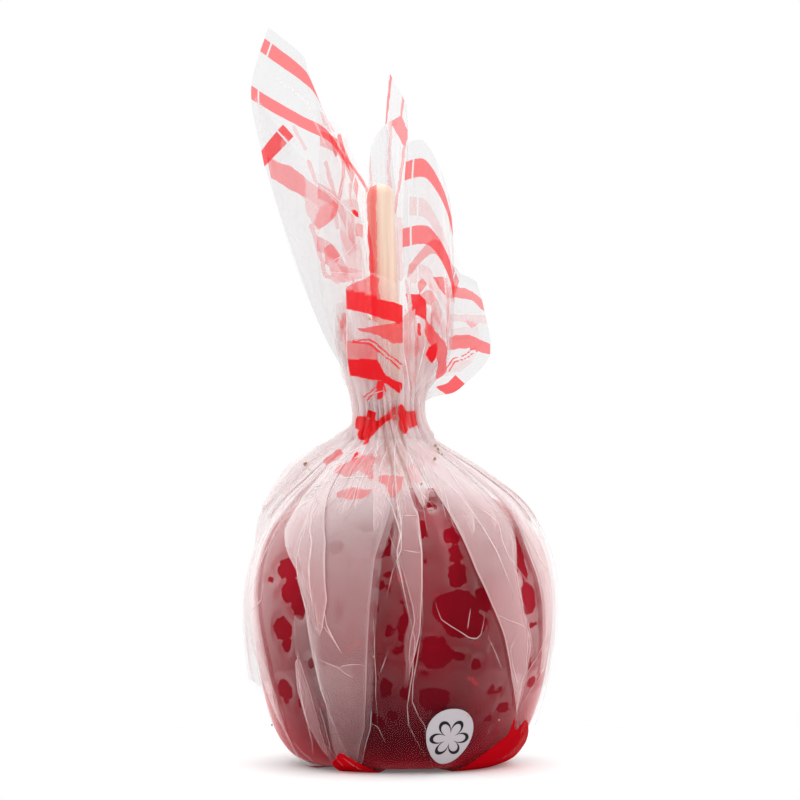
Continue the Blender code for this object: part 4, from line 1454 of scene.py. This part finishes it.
def ear_net(roots, rows):
    """Rows of points from the neck to the mouth; a turned-down piece has no roots."""
    if roots is None:
        return rows
    turn = np.radians(np.linspace(roots[0], roots[1], 3))
    centre = float(lean_x(NECK_HEIGHT))
    root = np.stack([centre + EAR_ROOT_RADIUS * np.cos(turn), EAR_ROOT_RADIUS * np.sin(turn),
                     np.full(3, NECK_HEIGHT)], axis=1)
    return [root, *rows]


def run_along(net, axis):
    """Distances along the net's rows or columns, from its start."""
    steps = np.linalg.norm(np.diff(net, axis=axis), axis=2)
    return np.concatenate([np.zeros_like(steps.take([0], axis)), np.cumsum(steps, axis)], axis)


def ear_mesh(name, plan, seed):
    """One ear: its net made smooth, gathered at its root and crumpled."""
    across = np.linspace(0, 1, EAR_COLUMNS + 1)
    up = np.linspace(0, 1, EAR_ROWS + 1)
    rows = ear_net(plan["roots"], plan["rows"])
    net = smooth_line(np.stack([smooth_line(row, across) for row in rows]), up)
    from_rim = run_along(net, 0) if plan.get("from_low") else run_along(net[::-1], 0)[::-1]
    from_side = run_along(net[:, ::-1], 1)[:, ::-1] if plan.get("weld_right") else run_along(net, 1)
    start, period, last = plan.get("bands", (0.0, 1.0, 0.0))
    lively = TURNBACK_LIVELY if plan["roots"] is None else 1.0

    def bend(s, t):
        column = np.round(s * EAR_COLUMNS).astype(int)
        row = np.round(t * EAR_ROWS).astype(int)
        places = net[row, column].copy()
        ink, cover = print_field(places[:, 0], places[:, 2], plan.get("print", ()),
                                 plan.get("lines", ()), plan.get("cover", INK_COVER))
        free = ease(0.0, 0.35, t)
        gathered = np.cos(s * 9 * math.pi + 2 * grain(places, 14.0, seed))
        gathered = gathered * GATHER_DEPTH * (1 - 0.75 * free)
        folded = np.cos(s * 4 * math.pi + 1.5 * seed) * FOLD_DEPTH * ease(0.05, 0.3, t) * (1 - 0.5 * t)
        creased = CRUMPLE_DEPTH * (facets(places, COARSE_FLATS, seed) - 0.5) * ease(0.0, 0.3, t)
        fine = FINE_DEPTH * facets(places, FINE_FLATS, seed + 2)
        lines = fold_lines(places, COARSE_FLATS, seed)
        lines = lines + 0.6 * fold_lines(places, FINE_FLATS, seed + 2)
        places[:, 1] += (gathered + folded + creased + fine) * lively
        return places, {
            "cling": OFF_PRINT,
            "layer": 0.0,
            "wet": 0.0,
            "milk_and_painted_veil": 0.0,
            "painted_grey": plan.get("painted_grey", 0.0),
            "ink": ink,
            "crease": np.minimum(lines, 1.0) * plan.get("creased", EAR_CREASES),
            "wave": OFF_PRINT,
            "patch_x": OFF_PATCH,
            "patch_y": OFF_PATCH,
            "band": (from_rim[row, column] - start) / period,
            "cover": np.where(ink > -0.3, cover, plan.get("cover", INK_COVER)),
            "last": last,
            "edge": from_side[row, column],
            "height": places[:, 2],
        }

    return bent_grid(name, EAR_COLUMNS, EAR_ROWS, bend, weld=False)


for number, (name, plan) in enumerate(EARS.items()):
    ear = show(name, ear_mesh(name, plan, number * 1.7), clear_film, sharp=55)
    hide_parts("film_wrap")

# %% [markdown]
# ## Sharp creases
#
# Crisp film keeps a white line wherever it has been bent sharply, and that line catches a
# highlight; the strips paint both, their white and a painted highlight. Each crease is a narrow
# tented strip laid on the film and tapered to its ends. Those in front are given by their places
# seen from the front, in mm; the gathers' creases run down the shoulder on all sides, drawn by
# lot. A ray that is cast on to the film finds every place of a crease, so it follows the folds.

# %% Creases
# Each crease: how white it is, its own white and a painted highlight, half its width in mm, and its places
# (x, z).
FRONT_CREASES = (
    (0.42, 0.34, ((-33.2, 31.1), (-31.7, 27.2), (-30.4, 23.1), (-29.3, 20.0), (-28.8, 16.1),
                (-28.0, 12.8), (-25.5, 7.6), (-22.9, 2.7), (-21.9, 0.4))),
    (0.42, 0.4, ((-22.9, 25.2), (-22.6, 20.8), (-21.9, 15.6), (-20.6, 10.5), (-19.8, 6.6),
                (-19.8, 3.5))),
    (0.5, 0.25, ((-24.3, 6.8), (-22.4, 4.3), (-20.3, 2.7), (-17.7, 0.9), (-15.7, -0.5))),
    (0.4, 0.14, ((-19.3, 8.1), (-16.2, 6.1), (-14.4, 3.5), (-12.6, 1.4))),
    (0.4, 0.2, ((-13.1, 4.0), (-9.7, 1.4), (-4.8, -0.9), (-2.8, -1.9))),
    (0.6, 0.2, ((-17.0, 37.5), (-16.4, 33.7), (-15.1, 31.1), (-12.8, 27.2))),
    (0.4, 0.13, ((-18.9, 35.2), (-17.0, 33.4), (-15.1, 30.8), (-13.9, 28.5))),
    (0.3, 0.2, ((-19.3, 26.7), (-16.4, 25.4), (-13.9, 24.4), (-11.8, 22.8), (-9.5, 22.3))),
    (0.3, 0.2, ((-14.1, 24.6), (-11.0, 25.2), (-8.2, 25.2))),
    (0.5, 0.2, ((-34.5, 31.1), (-33.5, 26.5), (-32.4, 24.6), (-32.8, 22.1), (-31.9, 19.5),
                (-29.8, 16.9), (-28.0, 14.3), (-27.0, 11.8))),
    (0.4, 0.12, ((-6.4, 37.5), (-6.1, 35.0), (-5.9, 29.8), (-5.7, 25.9), (-5.5, 22.1), (-5.6, 19.0),
                (-5.1, 11.5))),
    (0.25, 0.14, ((-5.1, 22.1), (-3.8, 25.4), (-2.8, 28.5))),
    (0.25, 0.16, ((-8.4, 12.5), (-6.4, 11.8), (-5.1, 11.2), (-3.3, 7.4))),
    (0.4, 0.17, ((1.7, 37.5), (2.5, 33.7), (3.1, 30.6), (2.5, 23.1), (1.7, 17.9), (1.4, 15.6),
                (1.7, 11.8), (3.5, 7.9), (6.1, 3.2))),
    (0.35, 0.17, ((4.7, 37.5), (4.8, 35.0), (4.0, 29.3), (3.5, 25.9), (2.7, 21.6), (2.5, 16.9),
                (3.8, 13.8), (5.3, 11.5), (6.1, 6.6), (7.1, 1.4))),
    (0.65, 0.15, ((21.3, 36.0), (24.4, 34.4), (26.2, 33.7), (28.3, 32.4))),
    (0.45, 0.15, ((26.2, 33.7), (25.7, 31.1), (24.4, 28.0), (24.9, 24.6), (26.5, 18.5),
                (26.0, 14.3), (26.5, 9.2))),
    (0.45, 0.15, ((28.3, 32.4), (28.3, 27.2), (28.1, 23.1), (26.7, 17.9))),
    (0.65, 0.17, ((27.2, 37.5), (28.5, 33.7), (29.3, 29.8), (29.8, 26.2))),
    (0.5, 0.17, ((29.8, 26.2), (28.5, 23.6), (27.2, 21.0), (26.5, 17.9), (26.1, 14.3), (26.2, 10.2))),
    (0.45, 0.15, ((32.9, 31.9), (31.9, 27.7), (30.6, 25.2), (28.3, 22.1), (27.0, 18.5))),
    (0.4, 0.15, ((30.9, 24.1), (31.4, 22.1), (30.3, 19.5), (27.2, 15.1), (26.5, 11.8))),
    (0.3, 0.2, ((19.2, 31.4), (21.1, 27.2), (22.5, 23.7), (24.1, 23.9))),
    (0.35, 0.18, ((28.5, 15.4), (28.7, 11.8), (27.2, 8.4))),
    (0.5, 0.13, ((7.6, 39.1), (8.0, 37.5), (8.9, 35.2), (11.0, 33.7), (13.1, 32.4), (15.1, 31.0),
                (16.7, 30.7), (17.7, 31.6), (18.2, 33.7), (18.5, 35.5), (17.7, 37.0))),
    (0.45, 0.15, ((15.4, 37.5), (15.0, 35.0), (14.7, 32.9))),
    (0.6, 0.14, ((-26.5, 56.0), (-22.8, 59.7), (-19.3, 62.7), (-15.7, 65.9))),
    (0.7, 0.16, ((-15.4, 65.8), (-10.8, 66.3), (-6.3, 66.5))),
    (0.5, 0.3, ((-19.3, 62.5), (-18.6, 60.5), (-19.8, 58.5), (-20.3, 54.5), (-19.8, 52.0),
                (-20.4, 47.5), (-20.3, 43.2), (-19.6, 38.2), (-18.8, 35.2))),
    (0.5, 0.26, ((-20.6, 56.0), (-22.3, 52.5), (-23.3, 48.2), (-22.8, 43.2), (-21.3, 38.2),
                (-20.8, 35.2))),
    (0.6, 0.18, ((-5.8, 66.3), (-3.3, 62.5), (-1.8, 59.5), (-0.8, 56.5), (-0.0, 53.7), (-0.8, 50.5),
                (-0.8, 49.2), (0.9, 41.9))),
    (0.55, 0.18, ((-1.5, 74.5), (-1.3, 67.0), (-0.8, 60.5), (-0.0, 57.0), (0.2, 53.2), (-0.3, 50.5))),
    (0.35, 0.13, ((-5.8, 60.5), (-3.5, 57.0))),
    (0.35, 0.13, ((-3.0, 55.0), (-0.8, 49.5))),
    (0.5, 0.2, ((-31.3, 41.2), (-31.3, 38.7), (-33.9, 35.9))),
    (0.35, 0.3, ((-26.6, 61.0), (-27.3, 55.5), (-30.8, 49.0), (-34.6, 39.4))),
    (0.35, 0.3, ((-28.1, 60.5), (-30.8, 53.2), (-33.6, 47.0))),
    (0.4, 0.14, ((-17.3, 68.8), (-12.6, 71.8))),
    (0.4, 0.14, ((-16.8, 68.0), (-11.3, 70.8))),
    (0.3, 0.12, ((-0.8, 49.2), (-2.0, 45.0), (-3.3, 39.4))),
    (0.5, 0.16, ((-1.4, 61.0), (-0.1, 57.0), (0.1, 53.2), (0.1, 50.7), (-0.9, 48.2), (0.1, 44.5),
                (2.1, 35.2))),
    (0.55, 0.16, ((3.1, 61.0), (2.7, 59.5), (3.9, 57.7), (4.0, 53.7), (4.6, 50.0), (4.6, 44.5),
                (4.8, 35.2))),
    (0.5, 0.16, ((9.4, 65.2), (10.4, 60.5), (11.6, 55.7), (12.9, 54.5))),
    (0.45, 0.35, ((5.4, 70.5), (8.6, 66.3), (12.6, 63.0), (15.7, 59.0), (18.7, 54.5), (21.2, 50.2),
                (22.9, 46.2), (24.9, 40.7), (25.2, 38.7))),
    (0.55, 0.2, ((12.6, 64.5), (16.2, 60.5), (19.4, 58.2), (21.9, 56.0), (22.7, 52.0), (23.9, 49.0),
                (25.7, 46.5), (28.7, 42.4), (30.2, 41.2))),
    (0.5, 0.14, ((16.7, 64.0), (18.7, 60.7), (22.4, 58.0), (26.2, 55.2))),
    (0.55, 0.16, ((26.4, 55.0), (27.4, 52.7), (29.2, 48.2), (30.9, 43.7), (32.2, 36.9))),
    (0.45, 0.18, ((27.4, 54.5), (29.9, 50.7), (31.9, 47.0), (33.7, 44.5))),
    (0.45, 0.16, ((23.7, 49.0), (25.9, 44.5), (26.7, 39.4), (28.7, 35.2))),
    (0.3, 0.3, ((12.1, 72.5), (16.2, 68.8), (21.2, 63.2), (27.4, 56.0))),
    (0.45, 0.14, ((0.1, 58.0), (3.6, 57.9))),
    (0.4, 0.13, ((0.2, 50.5), (4.6, 49.8))),
    (0.45, 0.16, ((1.9, 67.0), (3.9, 63.7), (7.4, 59.7))),
    (0.6, 0.15, ((-20.8, 134.6), (-15.3, 130.6), (-9.7, 125.2), (-8.3, 124.6), (-7.7, 121.4))),
    (0.6, 0.12, ((-18.1, 114.3), (-12.5, 117.5), (-8.5, 121.8))),
    (0.6, 0.12, ((-20.1, 113.7), (-16.1, 113.1), (-11.3, 112.8))),
    (0.4, 0.4, ((-30.4, 159.2), (-22.4, 153.3), (-19.3, 146.9), (-16.9, 141.3))),
    (0.4, 0.15, ((-13.1, 140.9), (-12.9, 135.8), (-14.5, 129.8))),
    (0.5, 0.15, ((-2.9, 149.3), (-3.3, 143.7), (-2.5, 135.8), (-1.3, 127.4))),
    (0.5, 0.13, ((1.4, 144.1), (-0.2, 135.8), (-1.5, 127.4))),
    (0.35, 0.15, ((-27.2, 124.6), (-23.2, 119.8), (-20.1, 115.1))),
    (0.5, 0.2, ((-4.9, 131.8), (-5.1, 119.8), (-4.9, 111.9))),
    (0.6, 0.22, ((0.5, 104.5), (0.7, 95.2), (1.6, 89.0), (2.2, 85.0), (4.1, 78.2))),
    (0.5, 0.16, ((5.3, 101.4), (5.6, 96.5), (4.1, 90.3), (3.1, 84.4))),
    (0.55, 0.13, ((11.2, 107.6), (10.9, 94.6))),
    (0.5, 0.16, ((-1.5, 82.8), (-0.3, 79.4), (-1.2, 76.7), (-1.5, 65.5))),
    (0.5, 0.14, ((-4.6, 77.0), (-2.7, 79.1), (-0.3, 81.0))),
    (0.5, 0.14, ((-12.5, 109.2), (-12.3, 92.4), (-11.7, 85.9))),
    (0.5, 0.14, ((6.8, 86.9), (4.1, 84.1), (4.7, 79.8))),
    (0.5, 0.12, ((-8.3, 84.7), (-4.0, 85.9), (-2.1, 84.1))),
    (0.5, 0.14, ((-16.4, 68.0), (-10.8, 72.3), (-5.8, 74.2))),
    (0.45, 0.14, ((-5.8, 65.3), (-4.0, 70.5), (-1.5, 75.4))),
    (0.4, 0.2, ((4.7, 76.7), (8.4, 73.6), (14.6, 68.9), (20.2, 65.3))),
    (0.45, 0.14, ((0.0, 75.7), (2.2, 70.5), (4.1, 65.3))),
)

# %% Lay the creases
CREASE_STEP = 0.5
CREASE_LIFT = 0.05
CREASE_RIDGE = 0.1
CREASE_STRENGTH = 1.7
RAY_START = 60.0  # rays start this far out, in mm
FRONT_RAY = Vector((0.0, 1.0, 0.0))
SHOULDER_CREASES = 150
SIDE_CREASES = 60
# The creases' tint low on the bag: painted light bounced from the toffee.
LOW_CREASE_BOUNCE_TONE = (0.95, 0.74, 0.74, 1)


def walk(points):
    """Places at even steps along a line with corners."""
    points = np.asarray(points, float)
    run = np.r_[0, np.cumsum(np.linalg.norm(np.diff(points, axis=0), axis=1))]
    wanted = np.linspace(0, run[-1], max(5, int(run[-1] / CREASE_STEP)))
    return np.stack([np.interp(wanted, run, points[:, k]) for k in range(2)], axis=1)


def lay_strip(mesh, layer, hits, half, share):
    """Bends a narrow grid into a tented strip along places with normals, white along its middle."""
    last = len(hits) - 1
    for vertex in bmesh.ops.create_grid(mesh, x_segments=2, y_segments=last, size=0.5)["verts"]:
        k = round((vertex.co.y + 0.5) * last)
        across = vertex.co.x * 2
        spot, normal = hits[k]
        side = (hits[min(k + 1, last)][0] - hits[max(k - 1, 0)][0]).cross(normal).normalized()
        taper = math.sin(math.pi * (k + 0.5) / len(hits))
        lift = CREASE_LIFT + CREASE_RIDGE * (1 - abs(across))
        vertex.co = spot + (normal * lift + side * across * half * (0.5 + 0.8 * taper)) * MM
        vertex[layer] = (1 - abs(across)) * min(0.95, CREASE_STRENGTH * share) * taper**0.5


def film_tree(names):
    """Pieces of film as one tree that rays can be cast on."""
    film = bmesh.new()
    for name in names:
        film.from_mesh(bpy.data.objects[name].data)
    tree = BVHTree.FromBMesh(film)
    film.free()
    return tree


def drawn_crease(rng, on_side):
    """A crease in azimuth and height: down the shoulder, or across the sides and the back."""
    if on_side:
        place = rng.uniform(75, 285)
        start = rng.uniform(12, 58)
        fall = rng.uniform(4, 16)
        drift = rng.uniform(-14, 14)
    else:
        place = rng.uniform(-180, 180)
        start = rng.uniform(64, 76)
        fall = rng.uniform(4, 22) * (1.0 if abs(place) > 70 else 0.6)
        drift = rng.uniform(-4, 4)
    kink = rng.uniform(0.3, 0.7)
    return ((place, start), (place + drift * kink + rng.uniform(-2, 2), start - fall * kink),
            (place + drift, start - fall))


def make_creases():
    """One mesh with every crease, those in front first and then the drawn ones."""
    from_front = film_tree([bag.name, *EARS])
    from_side = film_tree([bag.name])
    mesh = bmesh.new()
    layer = mesh.verts.layers.float.new("crease")
    jobs = []
    for share, half, points in FRONT_CREASES:
        rays = [(Vector((x, -RAY_START, z)), FRONT_RAY) for x, z in walk(points)]
        jobs.append((from_front, rays, half, share))
    rng = np.random.default_rng(23)
    for k in range(SHOULDER_CREASES + SIDE_CREASES):
        rays = []
        for place, level in walk(drawn_crease(rng, k >= SHOULDER_CREASES)):
            turn = math.radians(float(place))
            out = Vector((math.sin(turn), -math.cos(turn), 0.0))
            rays.append((out * RAY_START + Vector((0.0, 0.0, float(level))), -out))
        jobs.append((from_side, rays, rng.uniform(0.1, 0.22), rng.uniform(0.15, 0.5)))
    for tree, rays, half, share in jobs:
        found = [tree.ray_cast(start * MM, way)[:2] for start, way in rays]
        hits = [(spot, normal if normal.dot(way) < 0 else -normal)
                for (spot, normal), (start, way) in zip(found, rays) if spot is not None]
        if len(hits) > 3:
            lay_strip(mesh, layer, hits, half, share)
    data = bpy.data.meshes.new("film_creases")
    mesh.to_mesh(data)
    mesh.free()
    return data


def crease_finish():
    g = Graph("film_crease")
    height = g.add("SeparateXYZ", {0: g.add("TexCoord", output="Object")}, output="Z")
    # Painted bounce light: low down the creases take a red tint from the toffee.
    tone = g.tone(g.step(height, 0.02, 0.075), LOW_CREASE_BOUNCE_TONE, CREASE_WHITE_AND_HIGHLIGHT)
    patchy = g.add("TexNoise", {"Vector": g.add("TexCoord", output="Object"), "Scale": 500.0})
    share = g.math("MULTIPLY", g.value("crease"), g.math("MULTIPLY_ADD", patchy, 1.2, 0.4))
    # Painted shade: the creases are dimmed towards the bottom.
    share = g.math("MULTIPLY", share, g.math("MULTIPLY_ADD", g.step(height, 0.0, 0.03), 0.6, 0.4))
    clear = g.add("BsdfTransparent", {"Color": (1, 1, 1, 1)})
    return g.finish(g.blend(share, clear, g.thin(tone, 0.4)))


creases = show("film_creases", make_creases(), crease_finish())
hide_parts("film_wrap")

# %% [markdown]
# ## Crumbs
#
# A few crumbs of light toffee have chipped off and stick to the film. Each is an uneven little
# stone. A ray from the front finds the film at the wanted place, so every crumb touches it.

# %% Crumbs on the film
CRUMBS = (
    (7.9, 73.3, 0.34), (8.5, 72.5, 0.3), (8.7, 71.7, 0.22), (7.6, 70.3, 0.36), (9.4, 71.4, 0.2),
    (8.2, 71.9, 0.18), (-7.1, 102.3, 0.26), (-22.2, 69.0, 0.3), (-21.8, 69.3, 0.22), (4.6, 64.9, 0.24),
    (-6.0, 27.0, 0.2), (15.0, 13.5, 0.24), (22.0, 12.0, 0.2), (-28.6, 12.5, 0.26), (-29.4, 9.6, 0.22),
)


CRUMB_TONES = ((0.35, (0.3, 0.12, 0.04, 1)), (0.65, (0.62, 0.4, 0.2, 1)))
CRUMB_ROUGHNESS = 0.35  # how uneven the little stones are
CRUMB_TALL = 1.3


def crumb_finish():
    g = Graph("toffee_crumb")
    place = g.add("TexCoord", output="Object")
    spots = g.add("TexNoise", {"Vector": place, "Scale": 2500.0, "Detail": 2.0})
    colour = g.ramp(spots, CRUMB_TONES)
    return g.finish(g.add("BsdfPrincipled", {"Base Color": colour, "Roughness": 0.4}))


def make_crumbs():
    """Uneven little stones, each where a ray from the front meets the film."""
    tree = film_tree([bag.name, "front_panel"])
    mesh = bmesh.new()
    for x, z, size in CRUMBS:
        hit = tree.ray_cast(Vector((x, -RAY_START, z)) * MM, FRONT_RAY)[0]
        stone = bmesh.ops.create_icosphere(mesh, subdivisions=2, radius=size * MM)["verts"]
        for vertex in stone:
            rough = noise.noise(vertex.co / (0.25 * MM) + Vector((x, z, 0)))
            vertex.co *= 1 + CRUMB_ROUGHNESS * rough
            vertex.co.z *= CRUMB_TALL
        bmesh.ops.translate(mesh, verts=stone, vec=hit)
    data = bpy.data.meshes.new("crumbs")
    mesh.to_mesh(data)
    mesh.free()
    return data


crumbs = show("crumbs", make_crumbs(), crumb_finish())
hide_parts("coated_apple")
